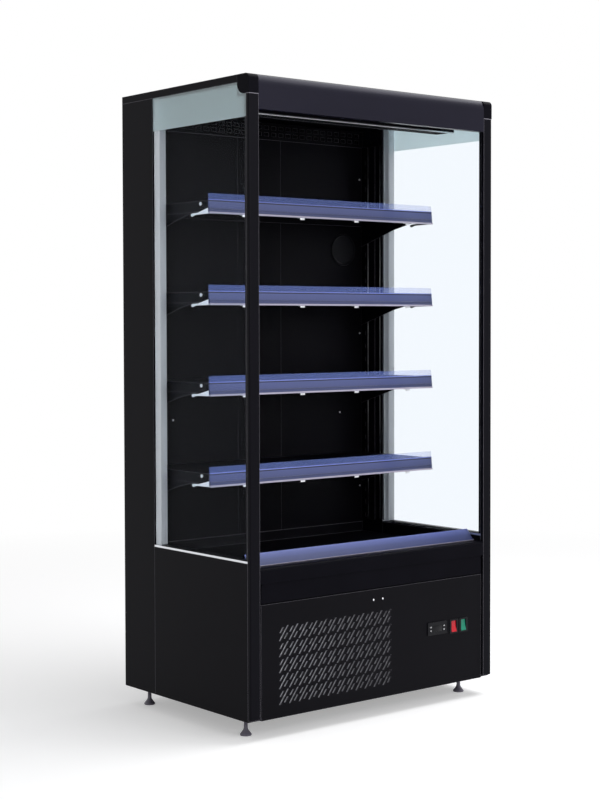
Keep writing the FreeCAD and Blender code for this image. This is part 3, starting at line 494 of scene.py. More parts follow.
def rail_looks(start, height, painted_factors):
    """Paints light and shade up a rail, from a painted highlight on its lip, and the fine lines
    along it.
    """
    lip = tuple(finishes().rail_lip)
    stops = [(0.0, lip), (0.10, lip)]
    stops += [(place, dim(finishes().rail, factor)) for place, factor in painted_factors]
    lines = noise(start, object_place(start, (3.0, 500.0, 500.0)), 1.0)
    return start.node("ShaderNodeValToRGB", {"stops": stops}, {0: height}), lines


def rail_plastic(start):
    """Grey blue extrusion of the price rails, with light and shade painted over its own height.
    """
    low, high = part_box("price_rail_1")
    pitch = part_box("price_rail_2")[0].z - low.z
    height = ((reading(start, "Z") - low.z + 0.0001) % pitch) / (high.z - low.z)
    painted_colours, lines = rail_looks(start, height, RAIL_PAINTED_LIGHT)
    return shader(
        start, Base_Color=painted_colours, Roughness=lines * 0.12 + 0.26,
        Specular_IOR_Level=0.35, Coat_Weight=0.2, Coat_Roughness=0.15,
        Normal=relief(start, lines, 0.00003, 0.0006))


def sill_rail_plastic(start):
    """The same extrusion on the slope of the nose, with a painted highlight on its lip and
    painted light growing towards its top.
    """
    low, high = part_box("base_price_rail")
    height = (reading(start, "Z") - low.z) / (high.z - low.z)
    painted_colours, lines = rail_looks(start, height, SILL_PAINTED_LIGHT)
    return shader(
        start, Base_Color=painted_colours, Roughness=lines * 0.12 + 0.24, Specular_IOR_Level=0.14,
        Normal=relief(start, lines, 0.00003, 0.0006))


def clear_riser(start):
    """Clear strip that shows blue against the dark and nearly nothing against the light."""
    lines = noise(start, object_place(start, (2.0, 60.0, 60.0)), 1.0)
    tint = finishes().riser
    return shader(
        start, Base_Color=mottled(start, lines, tint, 0.92),
        Roughness=lines * 0.08 + 0.10, Alpha=0.18, Specular_IOR_Level=0.5)


def rocker_plastic(start, tint):
    """Glossy coloured plastic of a switch rocker."""
    where = object_place(start)
    cloud = noise(start, where, 60.0)
    return shader(
        start, Base_Color=mottled(start, cloud, tint, 1.25),
        Roughness=cloud * 0.06 + 0.12, Specular_IOR_Level=0.3, Coat_Weight=0.1,
        Normal=relief(start, cloud, 0.00002, 0.0005))


def red_rocker(start):
    return rocker_plastic(start, finishes().red)


def green_rocker(start):
    return rocker_plastic(start, finishes().green)


def gloss_black(start):
    """Deep gloss of the display window and the compressor's paint."""
    cloud = noise(start, object_place(start), 40.0)
    base = finishes().moulding
    return shader(
        start, Base_Color=mottled(start, cloud, base, 1.4),
        Roughness=cloud * 0.05 + 0.06, Specular_IOR_Level=0.15,
        Normal=relief(start, cloud, 0.00002, 0.0005))


def key_print(start):
    """Pale print of the marks on the keys."""
    speck = noise(start, object_place(start), 900.0)
    tint = finishes().mark
    return shader(
        start, Base_Color=mottled(start, speck, tint, 0.85),
        Roughness=speck * 0.2 + 0.4)


SLOT_FINISH = {
    "black_steel": powder_coat,
    "black_extrusion": black_extrusion,
    "black_plastic": moulded_black,
    "foot_plastic": foot_grey,
    "glass": pane_glass,
    "bright_metal": bright_aluminium,
    "rail_plastic": rail_plastic,
    "clear_blue": clear_riser,
    "red_plastic": red_rocker,
    "green_plastic": green_rocker,
    "compressor_paint": gloss_black,
}
NODE_FINISH = {
    "post_left": post_extrusion,
    "post_right": post_extrusion,
    "glass_channels": bright_channel,
    "honeycomb": moulded_black,
    "canopy_end_caps": trim_black,
    "mid_trim": trim_black,
    "nose": trim_black,
    "base_price_rail": sill_rail_plastic,
}


def finish(build):
    return material("finish_" + build.__name__, build)


# ---- meshes --------------------------------------------------------------------------------

def settle(name, shape, body, build=None, stands_for=(), crease=35.0):
    """Makes a mesh or bmesh a piece that rides on a body and has a slot and a finish."""
    mesh = to_mesh(name, shape, crease) if isinstance(shape, bmesh.types.BMesh) else shape
    piece = bpy.data.objects.new(name, mesh)
    bpy.context.scene.collection.objects.link(piece)
    if build:
        mesh.materials.clear()
        mesh.materials.append(finish(build))
    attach(piece, body)
    if stands_for:
        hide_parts(*stands_for)
    return piece


def to_mesh(name, work, crease=35.0):
    """Closes a bmesh: merged, facing outwards, smooth but for its creases."""
    bmesh.ops.remove_doubles(work, verts=work.verts, dist=1e-6)
    bmesh.ops.recalc_face_normals(work, faces=work.faces)
    for edge in work.edges:
        edge.smooth = edge.calc_face_angle(math.pi) < math.radians(crease)
    for face in work.faces:
        face.smooth = True
    mesh = bpy.data.meshes.new(name)
    work.to_mesh(mesh)
    work.free()
    return mesh


def soften_edges(work, corners, amount):
    """Bevels every edge at the corners, in the same order each run."""
    if amount:
        edges = list(dict.fromkeys(edge for corner in corners for edge in corner.link_edges))
        bmesh.ops.bevel(work, geom=edges, offset=amount, segments=2, profile=0.5, affect="EDGES")


def add_box(work, low, high, soften=0.0):
    """Box between two corners, its edges softened."""
    low, high = Vector(low), Vector(high)
    place = Matrix.Translation((low + high) / 2) @ Matrix.Diagonal((*(high - low), 1.0))
    made = bmesh.ops.create_cube(work, size=1.0, matrix=place)
    soften_edges(work, made["verts"], soften)


def ring_of(work, outline, axis, depth):
    """Corners of an outline on the plane square to axis, at a depth along it."""
    others = [i for i in range(3) if i != axis]
    ring = []
    for point in outline:
        spot = [0.0, 0.0, 0.0]
        spot[others[0]], spot[others[1]], spot[axis] = point[0], point[1], depth
        ring.append(work.verts.new(spot))
    return ring


def add_plate(work, outline, axis, start, end):
    """Flat plate with sharp edges: an outline given thickness along axis."""
    near, far = ring_of(work, outline, axis, start), ring_of(work, outline, axis, end)
    work.faces.new(near)
    work.faces.new(far[::-1])
    for i in range(len(near)):
        work.faces.new((near[i - 1], far[i - 1], far[i], near[i]))


def add_soft_plate(work, outline, axis, start, end, soften):
    """Flat plate whose edges are softened."""
    ring = ring_of(work, outline, axis, start)
    face = work.faces.new(ring)
    made = bmesh.ops.extrude_face_region(work, geom=[face])
    moved = [item for item in made["geom"] if isinstance(item, bmesh.types.BMVert)]
    step = Vector((0.0, 0.0, 0.0))
    step[axis] = end - start
    bmesh.ops.translate(work, verts=moved, vec=step)
    soften_edges(work, ring + moved, soften)


def add_lathe(work, profile, centre, direction, steps):
    """Turned form: (radius, height) points spun about a line through centre."""
    rings = []
    for radius, height in profile:
        if radius <= 0.0:
            rings.append([work.verts.new((0.0, 0.0, height))] * steps)
            continue
        turns = [2 * math.pi * i / steps for i in range(steps)]
        rings.append([work.verts.new((radius * math.cos(t), radius * math.sin(t), height))
                      for t in turns])
    made = list(dict.fromkeys(v for ring in rings for v in ring))
    for lower, upper in zip(rings, rings[1:]):
        for i in range(steps):
            corners = [lower[i], lower[(i + 1) % steps], upper[(i + 1) % steps], upper[i]]
            work.faces.new(list(dict.fromkeys(corners)))
    turn = Vector((0.0, 0.0, 1.0)).rotation_difference(Vector(direction)).to_matrix().to_4x4()
    bmesh.ops.transform(work, matrix=Matrix.Translation(centre) @ turn, verts=made)


def add_rod(work, points, radius, steps=10):
    """Round rod along straight runs between points."""
    for start, end in zip(points, points[1:]):
        run = Vector(end) - Vector(start)
        add_lathe(work, ((0.0, 0.0), (radius, 0.0), (radius, run.length), (0.0, run.length)),
                  start, run.normalized(), steps)


# ---- geometry nodes ------------------------------------------------------------------------

def new_tree(name, inputs):
    """Geometry node tree with the named inputs, and a wire for each of them."""
    tree = bpy.data.node_groups.new(name, "GeometryNodeTree")
    tree.interface.new_socket("Geometry", in_out="OUTPUT", socket_type="NodeSocketGeometry")
    tree.interface.new_socket("Geometry", in_out="INPUT", socket_type="NodeSocketGeometry")
    for label, kind in inputs.items():
        tree.interface.new_socket(label, in_out="INPUT", socket_type="NodeSocket" + kind)
    entry = tree.nodes.new("NodeGroupInput")
    wires = {socket.name: Wire(tree, socket) for socket in entry.outputs if socket.name}
    return tree, wires


def end_tree(tree, shape, finish_wire):
    """Ends a tree in real geometry with its material."""
    start = Wire(tree)
    real = start.node("GeometryNodeRealizeInstances", None, {"Geometry": shape})
    coated = start.node("GeometryNodeSetMaterial", None,
                        {"Geometry": real, "Material": finish_wire})
    start.node("NodeGroupOutput", None, {"Geometry": coated})


def scatter_tree():
    """One copy of a fitting on each point, turned along the point's facing."""
    name = "fittings_on_points"
    tree = bpy.data.node_groups.get(name)
    if tree:
        return tree
    tree, given = new_tree(name, {"Fitting": "Object", "Size": "Float", "Finish": "Material"})
    start = Wire(tree)
    facing = start.node("GeometryNodeInputNamedAttribute", {"data_type": "FLOAT_VECTOR"},
                        {"Name": "facing"})
    turn = start.node("FunctionNodeAlignRotationToVector", {"axis": "Z"}, {"Vector": facing})
    fitting = start.node("GeometryNodeObjectInfo", None, {"Object": given["Fitting"]},
                         output="Geometry")
    copies = start.node("GeometryNodeInstanceOnPoints", None,
                        {"Points": given["Geometry"], "Instance": fitting, "Rotation": turn,
                         "Scale": given["Size"]})
    end_tree(tree, copies, given["Finish"])
    return tree


def slat_tree():
    """A row of equal slats along a line."""
    name = "row_of_slats"
    tree = bpy.data.node_groups.get(name)
    if tree:
        return tree
    tree, given = new_tree(name, {"Start": "Vector", "Step": "Vector", "Slat": "Vector",
                                  "Count": "Int", "Finish": "Material"})
    start = Wire(tree)
    line = start.node("GeometryNodeMeshLine", {"mode": "OFFSET"},
                      {"Count": given["Count"], "Start Location": given["Start"],
                       "Offset": given["Step"]})
    slat = start.node("GeometryNodeMeshCube", None, {"Size": given["Slat"]})
    copies = start.node("GeometryNodeInstanceOnPoints", None, {"Points": line, "Instance": slat})
    end_tree(tree, copies, given["Finish"])
    return tree


def grow(name, tree, values, body, points=(), facings=()):
    """Runs a tree on points and keeps its result as a plain mesh on a body."""
    seed = bpy.data.meshes.new(name + "_points")
    seed.from_pydata([tuple(p) for p in points], [], [])
    if facings:
        facing = seed.attributes.new("facing", "FLOAT_VECTOR", "POINT")
        facing.data.foreach_set("vector", [c for f in facings for c in f])
    holder = bpy.data.objects.new(name + "_holder", seed)
    bpy.context.scene.collection.objects.link(holder)
    modifier = holder.modifiers.new("grow", "NODES")
    modifier.node_group = tree
    for socket in tree.interface.items_tree:
        if socket.in_out == "INPUT" and socket.name in values:
            modifier[socket.identifier] = values[socket.name]
    bpy.context.view_layer.update()
    graph = bpy.context.evaluated_depsgraph_get()
    mesh = bpy.data.meshes.new_from_object(holder.evaluated_get(graph))
    holder.modifiers.remove(modifier)
    bpy.data.objects.remove(holder)
    if not mesh.polygons:
        raise RuntimeError(name + " has no faces")
    return settle(name, mesh, body)


def scatter(name, fitting, places, body, build, size=1.0):
    """Copies a fitting to (place, facing) pairs and removes the pattern."""
    pattern = bpy.data.objects.new(name + "_pattern", fitting)
    bpy.context.scene.collection.objects.link(pattern)
    values = {"Fitting": pattern, "Size": size, "Finish": finish(build)}
    grow(name, scatter_tree(), values, body,
         [place for place, _facing in places], [facing for _place, facing in places])
    bpy.data.objects.remove(pattern)


# ---- pieces --------------------------------------------------------------------------------

def screw_head():
    """Pan head with a cross recess, rising along +Z."""
    radius = fittings().screw_head / 2
    rise = fittings().screw_rise
    work = bmesh.new()
    add_lathe(work, ((radius, 0.0), (radius, rise * 0.3), (radius * 0.92, rise * 0.66),
                     (radius * 0.66, rise * 0.92), (radius * 0.36, rise)),
              (0, 0, 0), (0, 0, 1), 24)
    add_lathe(work, ((radius * 0.36, rise), (radius * 0.26, rise * 0.4), (0.0, rise * 0.35)),
              (0, 0, 0), (0, 0, 1), 4)
    return to_mesh("screw_head", work)


class FRIDGE_OT_finish_cad(bpy.types.Operator):
    """Give every CAD node its finish"""
    bl_idname = "fridge.finish_cad"
    bl_label = "Finish the CAD nodes"

    def execute(self, context):
        for part in frame["record"]["subparts"]:
            build = NODE_FINISH.get(part["node"], SLOT_FINISH[part["material_slot"]])
            mesh = frame["nodes"][part["node"]].data
            mesh.materials.clear()
            mesh.materials.append(finish(build))
        return {"FINISHED"}


PANEL_SCREWS = ((-0.016, 0.368), (0.022, 0.368))      # x and z on the service panel
WALL_SCREW_HEIGHTS = (0.647, 1.186, 1.725)            # along the side back panels
MIDDLE_SCREW = (0.355, 0.910)                         # x and z, one on each side back panel
REAR_SCREW_HEIGHTS = (0.25, 0.95, 1.65)               # on the rear columns
FASCIA_SCREWS = (-0.269, -0.238)                      # x of the small pair on the fascia


class FRIDGE_OT_screws(bpy.types.Operator):
    """Add the screws of the casing"""
    bl_idname = "fridge.screws"
    bl_label = "Casing screws"

    def execute(self, context):
        out = (0.0, -1.0, 0.0)
        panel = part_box("service_panel")[0].y
        back_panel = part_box("back_panels")[0].y
        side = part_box("shelf_uprights")[1].x - 0.016
        places = [((x, panel, z), out) for x, z in PANEL_SCREWS]
        for sign in SIDES:
            for height in WALL_SCREW_HEIGHTS:
                places.append(((sign * side, back_panel, height), out))
            places.append(((sign * MIDDLE_SCREW[0], back_panel, MIDDLE_SCREW[1]), out))
        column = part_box("rear_column_left")[1]
        for sign in SIDES:
            for height in REAR_SCREW_HEIGHTS:      # sunk, so the heads stay in the CAD box
                back = (sign * (column.x + 0.018), column.y - 0.0023, height)
                places.append((back, (0.0, 1.0, 0.0)))
        scatter("casing_screws", screw_head(), places, "cabinet", zinc_plate)
        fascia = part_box("canopy_fascia")[0]
        small = [((x, fascia.y + 0.0008, fascia.z + 0.005), out) for x in FASCIA_SCREWS]
        scatter("fascia_screws", screw_head(), small, "cabinet", zinc_plate, 0.36)
        return {"FINISHED"}


class FRIDGE_OT_rail_clips(bpy.types.Operator):
    """Add the zinc clips that hold each price rail"""
    bl_idname = "fridge.rail_clips"
    bl_label = "Rail clips"

    def execute(self, context):
        size = fittings()
        low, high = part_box("price_rail_1")
        work = bmesh.new()
        half_width = size.clip_width / 2
        add_box(work, (-half_width, 0.0, -size.clip_drop),
                (half_width, size.plate, 0.0), size.plate / 4)
        add_box(work, (-half_width, 0.0, -size.plate),
                (half_width, high.y - low.y + 0.004, 0.0), size.plate / 4)
        clip = to_mesh("rail_clip", work)
        for number in SHELVES:
            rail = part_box("price_rail_%d" % number)[0]
            places = [((size.clip_pitch * step + 0.011, rail.y + 0.003, rail.z), (0.0, 0.0, 1.0))
                      for step in (-1.5, -0.5, 0.5, 1.5)]
            scatter("rail_clips_%d" % number, clip.copy(), places, "shelf_%d" % number,
                    zinc_plate)
        bpy.data.meshes.remove(clip)
        return {"FINISHED"}


class FRIDGE_OT_shelf_ends(bpy.types.Operator):
    """Add the bright end plates and pins of the shelves"""
    bl_idname = "fridge.shelf_ends"
    bl_label = "Shelf end plates"

    def execute(self, context):
        size = fittings()
        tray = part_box("shelf_tray_1")[1].x
        for number in SHELVES:
            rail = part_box("price_rail_%d" % number)
            back, low = rail[1].y, rail[0].z
            outline = ((back, low), (back, low + 0.016), (back + 0.008, low + 0.017),
                       (back + 0.060, low + 0.005), (back + 0.086, low + 0.004),
                       (back + 0.094, low + 0.002), (back + 0.095, low - 0.003),
                       (back + 0.088, low - 0.006), (back + 0.070, low - 0.001))
            work = bmesh.new()
            for sign in SIDES:
                near, far = sorted((sign * (tray + 0.0003), sign * (tray + 0.0003 + size.plate)))
                add_soft_plate(work, outline, 0, near, far, size.plate / 5)
                centre = (sign * tray, back + size.pin_depth, low + size.pin_height)
                radius = size.pin / 2
                rise = 0.0052
                add_lathe(work, ((radius * 0.7, 0.0), (radius * 0.7, rise * 0.4),
                                 (radius, rise * 0.45), (radius, rise * 0.8),
                                 (radius * 0.7, rise), (0.0, rise)),
                          centre, (sign, 0, 0), 24)
            settle("shelf_ends_%d" % number, work, "shelf_%d" % number,
                   zinc_plate)
        return {"FINISHED"}


class FRIDGE_OT_rail_beads(bpy.types.Operator):
    """Add the beads that hold a label in each price rail"""
    bl_idname = "fridge.rail_beads"
    bl_label = "Rail beads"

    def execute(self, context):
        bead = fittings().bead
        for number in SHELVES:
            low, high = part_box("price_rail_%d" % number)
            tall = high.z - low.z
            work = bmesh.new()
            for share_up, back in ((0.34, 0.0034), (0.94, 0.0062)):
                start = (low.x, low.y + back, low.z + tall * share_up)
                add_rod(work, (start, (high.x, start[1], start[2])), bead)
            settle("rail_beads_%d" % number, work, "shelf_%d" % number,
                   rail_plastic)
        return {"FINISHED"}


class FRIDGE_OT_coil_fins(bpy.types.Operator):
    """Fill the condenser and the evaporator with fine fins and copper bends"""
    bl_idname = "fridge.coil_fins"
    bl_label = "Coil fins"

    def execute(self, context):
        size = fittings()
        for coil in ("condenser", "evaporator"):
            low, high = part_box(coil)
            middle = (low + high) / 2
            span = high - low
            count = int((span.x - 0.004) / size.fin_pitch)
            slat = Vector((size.fin_sheet, span.y - 0.002, span.z - 0.004))
            values = {"Start": Vector((middle.x - size.fin_pitch * (count - 1) / 2,
                                       middle.y, middle.z)),
                      "Step": Vector((size.fin_pitch, 0.0, 0.0)), "Slat": slat,
                      "Count": count, "Finish": finish(bright_aluminium)}
            grow(coil + "_fins", slat_tree(), values, "cabinet")
            work = bmesh.new()
            rows = int(span.z / 0.05)
            for row in range(rows):
                height = low.z + span.z * (row + 0.5) / rows
                for end, outwards in ((low.x, -1), (high.x, 1)):
                    out = end + outwards * size.bend_reach
                    tube = [(x, middle.y + y, height) for x, y in
                            ((end, -0.012), (out, -0.009), (out, 0.009), (end, 0.012))]
                    add_rod(work, tube, size.bend)
            settle(coil + "_bends", work, "cabinet", copper_bend)
        return {"FINISHED"}


class FRIDGE_OT_honeycomb(bpy.types.Operator):
    """Fill the air curtain's outlet with hexagonal cells"""
    bl_idname = "fridge.honeycomb"
    bl_label = "Air curtain cells"

    def execute(self, context):
        size = fittings()
        low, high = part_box("honeycomb")
        outer = size.cell / math.sqrt(3)
        inner = outer - size.cell_wall
        tall = size.cell_height
        work = bmesh.new()
        turns = [math.radians(60 * i + 30) for i in range(6)]
        rings = []
        for radius, height in ((outer, 0.0), (inner, 0.0), (inner, tall), (outer, tall)):
            rings.append([work.verts.new((radius * math.cos(t), radius * math.sin(t), height))
                          for t in turns])
        for first, second in zip(rings, rings[1:] + rings[:1]):
            for i in range(6):
                work.faces.new((first[i], second[i], second[(i + 1) % 6], first[(i + 1) % 6]))
        cell = to_mesh("honeycomb_cell", work, 20.0)
        step = size.cell * math.sqrt(3) / 2
        rows = int((high.y - low.y - 2 * outer) / step) + 1
        columns = int((high.x - low.x - 1.5 * size.cell) / size.cell)
        places = []
        for row in range(rows):
            y = (low.y + high.y) / 2 + step * (row - (rows - 1) / 2)
            for column in range(columns):
                x = size.cell * (column - (columns - 1) / 2 + (row % 2) / 2)
                places.append(((x, y, low.z - 0.0015), (0.0, 0.0, 1.0)))
        scatter("curtain_cells", cell, places, "cabinet", moulded_black)
        work = bmesh.new()
        add_box(work, (low.x, low.y - 0.0018, low.z - 0.006),
                (high.x, low.y - 0.0002, low.z - 0.002), 0.0004)
        settle("curtain_lip", work, "cabinet", zinc_plate)
        return {"FINISHED"}


class FRIDGE_OT_fascia(bpy.types.Operator):
    """Replace the fascia with one whose face eases into its crown"""
    bl_idname = "fridge.fascia"
    bl_label = "Fascia"

    def execute(self, context):
        low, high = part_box("canopy_fascia")
        size = fittings()
        wall = size.fascia_sheet
        tall, deep = size.crown_height, size.crown_depth
        outside, inside = [], []
        for step in range(13):
            turn = math.radians(90 * step / 12)
            fall = math.cos(turn)
            y, z = low.y + deep * (1 - fall), high.z - tall * (1 - math.sin(turn))
            outside.append((y, z))
            inside.append((low.y + wall + (deep - wall) * (1 - fall),
                           high.z - tall + (tall - wall) * math.sin(turn)))
        lip = low.y + size.fascia_lip
        outline = [(low.y, low.z)] + outside + [(high.y, high.z), (high.y, high.z - wall)]
        outline += inside[::-1] + [(low.y + wall, low.z + wall), (lip - wall, low.z + wall),
                                   (lip - wall, low.z + 0.010), (lip, low.z + 0.010),
                                   (lip, low.z)]
        work = bmesh.new()
        add_plate(work, outline, 0, low.x, high.x)
        settle("crowned_fascia", work, "cabinet", fascia_black,
               ("canopy_fascia",), 50.0)
        return {"FINISHED"}


class FRIDGE_OT_edge_bars(bpy.types.Operator):
    """Replace the spacers with edge bars that stand clear of the panes"""
    bl_idname = "fridge.edge_bars"
    bl_label = "Pane edge bars"

    def execute(self, context):
        size = fittings()
        low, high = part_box("side_glass_right")
        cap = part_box("canopy_end_caps")
        bar, gap = size.edge_bar, 0.0003
        back = high.y - size.rear_bar
        step, notch = cap[1].y + 0.0003, cap[0].z - 0.0003
        seal = size.seal
        outline = ((low.y, low.z), (back, low.z), (back, low.z + seal),
                   (low.y + bar, low.z + seal), (low.y + bar, notch - seal),
                   (step + seal, notch - seal), (step + seal, high.z - seal),
                   (back, high.z - seal), (back, high.z), (step, high.z),
                   (step, notch), (low.y, notch))
        near, far = low.x + size.pane + gap, high.x - size.pane - gap
        seals, bars = bmesh.new(), bmesh.new()
        for sign in SIDES:
            side = sorted((sign * near, sign * far))
            add_plate(seals, outline, 0, side[0], side[1])
            add_box(bars, (side[0], back + gap, low.z), (side[1], high.y, high.z), 0.0008)
        settle("pane_seals", seals, "cabinet", moulded_black,
               ("glass_spacers",))
        settle("pane_rear_bars", bars, "cabinet", edge_bar_finish)
        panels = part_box("back_panels")
        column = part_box("rear_column_right")[0]
        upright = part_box("shelf_uprights")[1].x - size.upright_depth
        beads = bmesh.new()
        for sign in SIDES:
            for face, depth in ((column.x, column.y + 0.012), (upright, column.y + 0.067)):
                side = sorted((sign * (face - 0.0012), sign * face))
                add_box(beads, (side[0], depth - 0.0015, panels[0].z + 0.016),
                        (side[1], depth + 0.0015, panels[1].z), 0.0003)
        settle("corner_beads", beads, "cabinet", zinc_plate)
        return {"FINISHED"}


class FRIDGE_OT_filter(bpy.types.Operator):
    """Add the pleated filter behind the service grille"""
    bl_idname = "fridge.filter"
    bl_label = "Air filter"

    def execute(self, context):
        size = fittings()
        low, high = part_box("condenser")
        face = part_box("service_panel")[0].y + size.filter_depth
        count = int((high.x - low.x + 2 * size.filter_margin) / size.pleat)
        work = bmesh.new()
        front, back = [], []
        for fold in range(count + 1):
            x = low.x - size.filter_margin + size.pleat * fold
            y = face + (size.filter_fold if fold % 2 else 0.0)
            front.append((x, y))
            back.append((x, y + size.filter_sheet))
        rings = []
        for height in (low.z + 0.004, high.z + 0.050):
            rings.append([work.verts.new((x, y, height)) for x, y in front + back[::-1]])
        count = len(rings[0])
        for i in range(count):
            j = (i + 1) % count
            work.faces.new((rings[0][i], rings[0][j], rings[1][j], rings[1][i]))
        for ring in rings:
            half = count // 2
            for i in range(half - 1):
                work.faces.new((ring[i], ring[i + 1], ring[count - 2 - i], ring[count - 1 - i]))
        settle("pleated_filter", work, "cabinet", filter_mat, crease=20.0)
        return {"FINISHED"}


class FRIDGE_OT_round_cover(bpy.types.Operator):
    """Replace the plain round cover with a dished one"""
    bl_idname = "fridge.round_cover"
    bl_label = "Round cover"

    def execute(self, context):
        low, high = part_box("round_cover")
        middle = (low + high) / 2
        radius = (high.x - low.x) / 2
        tall = high.y - low.y
        work = bmesh.new()
        add_lathe(work, ((0.0, 0.0), (radius, 0.0), (radius, tall * 0.35),
                         (radius * 0.985, tall * 0.8), (radius * 0.95, tall),
                         (radius * 0.90, tall * 0.96), (radius * 0.86, tall * 0.4),
                         (radius * 0.80, tall * 0.32), (radius * 0.3, tall * 0.36),
                         (0.0, tall * 0.4)),
                  (middle.x, high.y, middle.z), (0, -1, 0), 64)
        settle("dished_cover", work, "cabinet", moulded_black,
               ("round_cover",))
        return {"FINISHED"}


class FRIDGE_OT_feet(bpy.types.Operator):
    """Replace the plain feet with flared ones that have a rim and a thread"""
    bl_idname = "fridge.feet"
    bl_label = "Levelling feet"

    def execute(self, context):
        for place in FEET:
            node = "foot_" + place
            low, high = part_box(node)
            radius = (high.x - low.x) / 2
            stem = fittings().foot_stem
            profile = [(0.0, 0.0), (radius * 0.96, 0.0), (radius, 0.0012), (radius, 0.0042),
                       (radius * 0.95, 0.0056), (radius * 0.68, 0.0115), (radius * 0.46, 0.0165),
                       (radius * 0.36, 0.0215), (stem, 0.0270), (stem, 0.0310)]
            pitch = fittings().thread_pitch
            for turn in range(int((high.z - 0.033) / pitch)):
                height = 0.0312 + turn * pitch
                profile += [(stem * 0.90, height + 0.0004), (stem * 0.99, height + 0.0013)]
            profile += [(stem * 0.9, high.z - 0.0005), (stem * 0.8, high.z), (0.0, high.z)]
            work = bmesh.new()
            add_lathe(work, profile, ((low.x + high.x) / 2, (low.y + high.y) / 2, low.z),
                      (0, 0, 1), 40)
            settle("flared_" + node, work, node, foot_grey, (node,))
        return {"FINISHED"}


class FRIDGE_OT_controls(bpy.types.Operator):
    """Add the display window and the marks of the controls"""
    bl_idname = "fridge.controls"
    bl_label = "Controller face"

    def execute(self, context):
        low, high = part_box("controller")
        middle = (low + high) / 2
        work = bmesh.new()
        half, tall = fittings().display_width / 2, fittings().display_height / 2
        add_box(work, (middle.x - half, low.y + 0.0002, middle.z - tall),
                (middle.x + half, low.y + 0.0007, middle.z + tall), 0.0001)
        settle("display_window", work, "cabinet", gloss_black)
        for number in KEYS:
            low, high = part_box("controller_key_%d" % number)
            middle = (low + high) / 2
            half_width = (high.x - low.x) * 0.42
            up = 1 if number % 2 else -1
            outline = ((middle.x - half_width, middle.z - up * half_width * 0.8),
                       (middle.x + half_width, middle.z - up * half_width * 0.8),
                       (middle.x, middle.z + up * half_width))
            work = bmesh.new()
            add_plate(work, outline, 1, low.y, low.y + 0.0004)
            bmesh.ops.translate(work, verts=work.verts, vec=(0.0, -0.00005, 0.0))
            settle("key_mark_%d" % number, work, "key_%d" % number,
                   key_print)
        return {"FINISHED"}


class FRIDGE_OT_stage(bpy.types.Operator):
    """Set up the floor, the light and the camera"""
    bl_idname = "fridge.stage"
    bl_label = "Studio"

    def execute(self, context):
        make_floor()
        make_world()
        make_lamps()
        make_camera()
        context.scene.view_settings.view_transform = "Standard"
        return {"FINISHED"}


def looked_at(start):
    """1 for what is seen, mirrored or looked through, and 0 for the light on things."""
    seen = start.node("ShaderNodeLightPath", output="Is Camera Ray")
    path = seen.socket.node.outputs
    mirrored = start.math("MAXIMUM", seen, Wire(start.tree, path["Is Glossy Ray"]))
    return start.math("MAXIMUM", mirrored, Wire(start.tree, path["Is Transmission Ray"]))


def make_floor():
    """Wide pale floor that stays white in the picture but for the shadow."""
    work = bmesh.new()
    bmesh.ops.create_grid(work, x_segments=1, y_segments=1, size=30.0)
    mesh = bpy.data.meshes.new("studio_floor")
    work.to_mesh(mesh)
    work.free()
    floor = bpy.data.objects.new("studio_floor", mesh)
    bpy.context.scene.collection.objects.link(floor)
    mesh.materials.append(finish(floor_white))


def floor_white(start):
    """Matt white that fades into the background with distance."""
    place = start.node("ShaderNodeTexCoord", output="Object")
    reach = start.node("ShaderNodeVectorMath", {"operation": "LENGTH"}, {0: place}, "Value")
    far = start.node("ShaderNodeMapRange", None,
                     {"Value": reach, "From Min": 1.5, "From Max": 4.5})
    matt = start.node("ShaderNodeBsdfDiffuse", None, {"Color": (0.86, 0.86, 0.87)})
    seen = looked_at(start)
    lift = bpy.context.scene.fridge_studio.floor_lift
    glow = start.node("ShaderNodeEmission", None, {"Color": WHITE, "Strength": seen * lift})
    near = start.node("ShaderNodeAddShader", None, {0: matt, 1: glow})
    white = start.node("ShaderNodeEmission", None, {"Color": WHITE, "Strength": 1.0})
    return start.node("ShaderNodeMixShader", None, {0: far * seen, 1: near, 2: white})


def make_world():
    """Even light, and a white background for what is seen, mirrored or looked through."""
    world = bpy.data.worlds.new("studio")
    world.use_nodes = True
    world.node_tree.nodes.clear()
    bpy.context.scene.world = world
    start = Wire(world.node_tree)
    shown = looked_at(start)
    daylight = bpy.context.scene.fridge_studio.daylight
    light = start.node("ShaderNodeBackground", None, {"Color": WHITE, "Strength": daylight})
    white = start.node("ShaderNodeBackground", None, {"Color": WHITE, "Strength": 1.0})
    both = start.node("ShaderNodeMixShader", None, {0: shown, 1: light, 2: white})
    start.node("ShaderNodeOutputWorld", None, {"Surface": both})


LAMPS = (
    # name, place, size, watts
    ("overhead_softbox", (1.7, -0.9, 4.4), 3.0, 120.0),
    ("front_softbox", (0.8, -5.0, 2.6), 2.6, 90.0),
    ("left_softbox", (-4.6, -0.6, 2.8), 2.4, 14.0),
)


def make_lamps():
    """Soft boxes over, in front of and to the left of the fridge."""
    target = Vector((0.0, 0.0, 1.0))
    for name, place, size, power in LAMPS:
        lamp = bpy.data.lights.new(name, "AREA")
        lamp.shape = "SQUARE"
        lamp.size = size
        lamp.energy = power
        holder = bpy.data.objects.new(name, lamp)
        holder.location = place
        holder.rotation_euler = (target - Vector(place)).to_track_quat("-Z", "Y").to_euler()
        bpy.context.scene.collection.objects.link(holder)


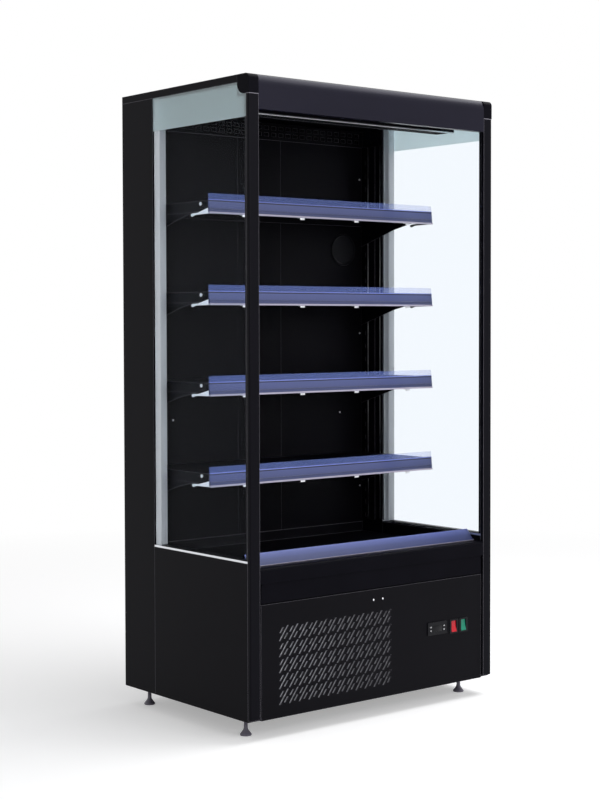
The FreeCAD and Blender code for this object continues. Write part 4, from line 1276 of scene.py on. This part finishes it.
def make_camera():
    """Camera at the photograph's viewpoint."""
    studio = bpy.context.scene.fridge_studio
    yaw, pitch, roll = studio.camera_yaw, studio.camera_pitch, studio.camera_roll
    forward = Vector((math.sin(yaw) * math.cos(pitch), math.cos(yaw) * math.cos(pitch),
                      -math.sin(pitch)))
    level = Vector((math.cos(yaw), -math.sin(yaw), 0.0))
    upright = level.cross(forward)
    right = level * math.cos(roll) + upright * math.sin(roll)
    up = upright * math.cos(roll) - level * math.sin(roll)
    data = bpy.data.cameras.new("studio_camera")
    data.sensor_width = SENSOR
    data.lens = studio.focal_pixels / IMAGE_HEIGHT * SENSOR
    data.shift_x = studio.shift_right
    data.shift_y = studio.shift_up
    camera = bpy.data.objects.new("studio_camera", data)
    turn = Matrix((right, up, -forward)).transposed().to_4x4()
    camera.matrix_world = Matrix.Translation(studio.camera_place) @ turn
    bpy.context.scene.collection.objects.link(camera)
    bpy.context.scene.camera = camera


# ---- add-on --------------------------------------------------------------------------------

OPERATORS = (
    FRIDGE_OT_finish_cad,
    FRIDGE_OT_screws,
    FRIDGE_OT_rail_clips,
    FRIDGE_OT_shelf_ends,
    FRIDGE_OT_rail_beads,
    FRIDGE_OT_coil_fins,
    FRIDGE_OT_honeycomb,
    FRIDGE_OT_fascia,
    FRIDGE_OT_edge_bars,
    FRIDGE_OT_filter,
    FRIDGE_OT_round_cover,
    FRIDGE_OT_feet,
    FRIDGE_OT_controls,
    FRIDGE_OT_stage,
)


class FRIDGE_PT_panel(bpy.types.Panel):
    """Steps that dress the fridge, in order"""
    bl_idname = "FRIDGE_PT_panel"
    bl_label = "Display fridge"
    bl_space_type = "VIEW_3D"
    bl_region_type = "UI"
    bl_category = "Fridge"

    def draw(self, context):
        for operator in OPERATORS:
            self.layout.operator(operator.bl_idname)
        for name, group in GROUPS.items():
            for setting in group.__annotations__:
                self.layout.prop(getattr(context.scene, name), setting)


GROUPS = {
    "fridge_finishes": FridgeFinishes,
    "fridge_fittings": FridgeFittings,
    "fridge_studio": FridgeStudio,
}


def register():
    for group in GROUPS.values():
        bpy.utils.register_class(group)
    for name, group in GROUPS.items():
        setattr(bpy.types.Scene, name, bpy.props.PointerProperty(type=group))
    for operator in OPERATORS:
        bpy.utils.register_class(operator)
    bpy.utils.register_class(FRIDGE_PT_panel)


def unregister():
    bpy.utils.unregister_class(FRIDGE_PT_panel)
    for operator in reversed(OPERATORS):
        bpy.utils.unregister_class(operator)
    for name in GROUPS:
        delattr(bpy.types.Scene, name)
    for group in reversed(list(GROUPS.values())):
        bpy.utils.unregister_class(group)


def main():
    register()
    for operator in OPERATORS:
        getattr(bpy.ops.fridge, operator.bl_idname.split(".")[1])()


if __name__ == "__main__":
    main()
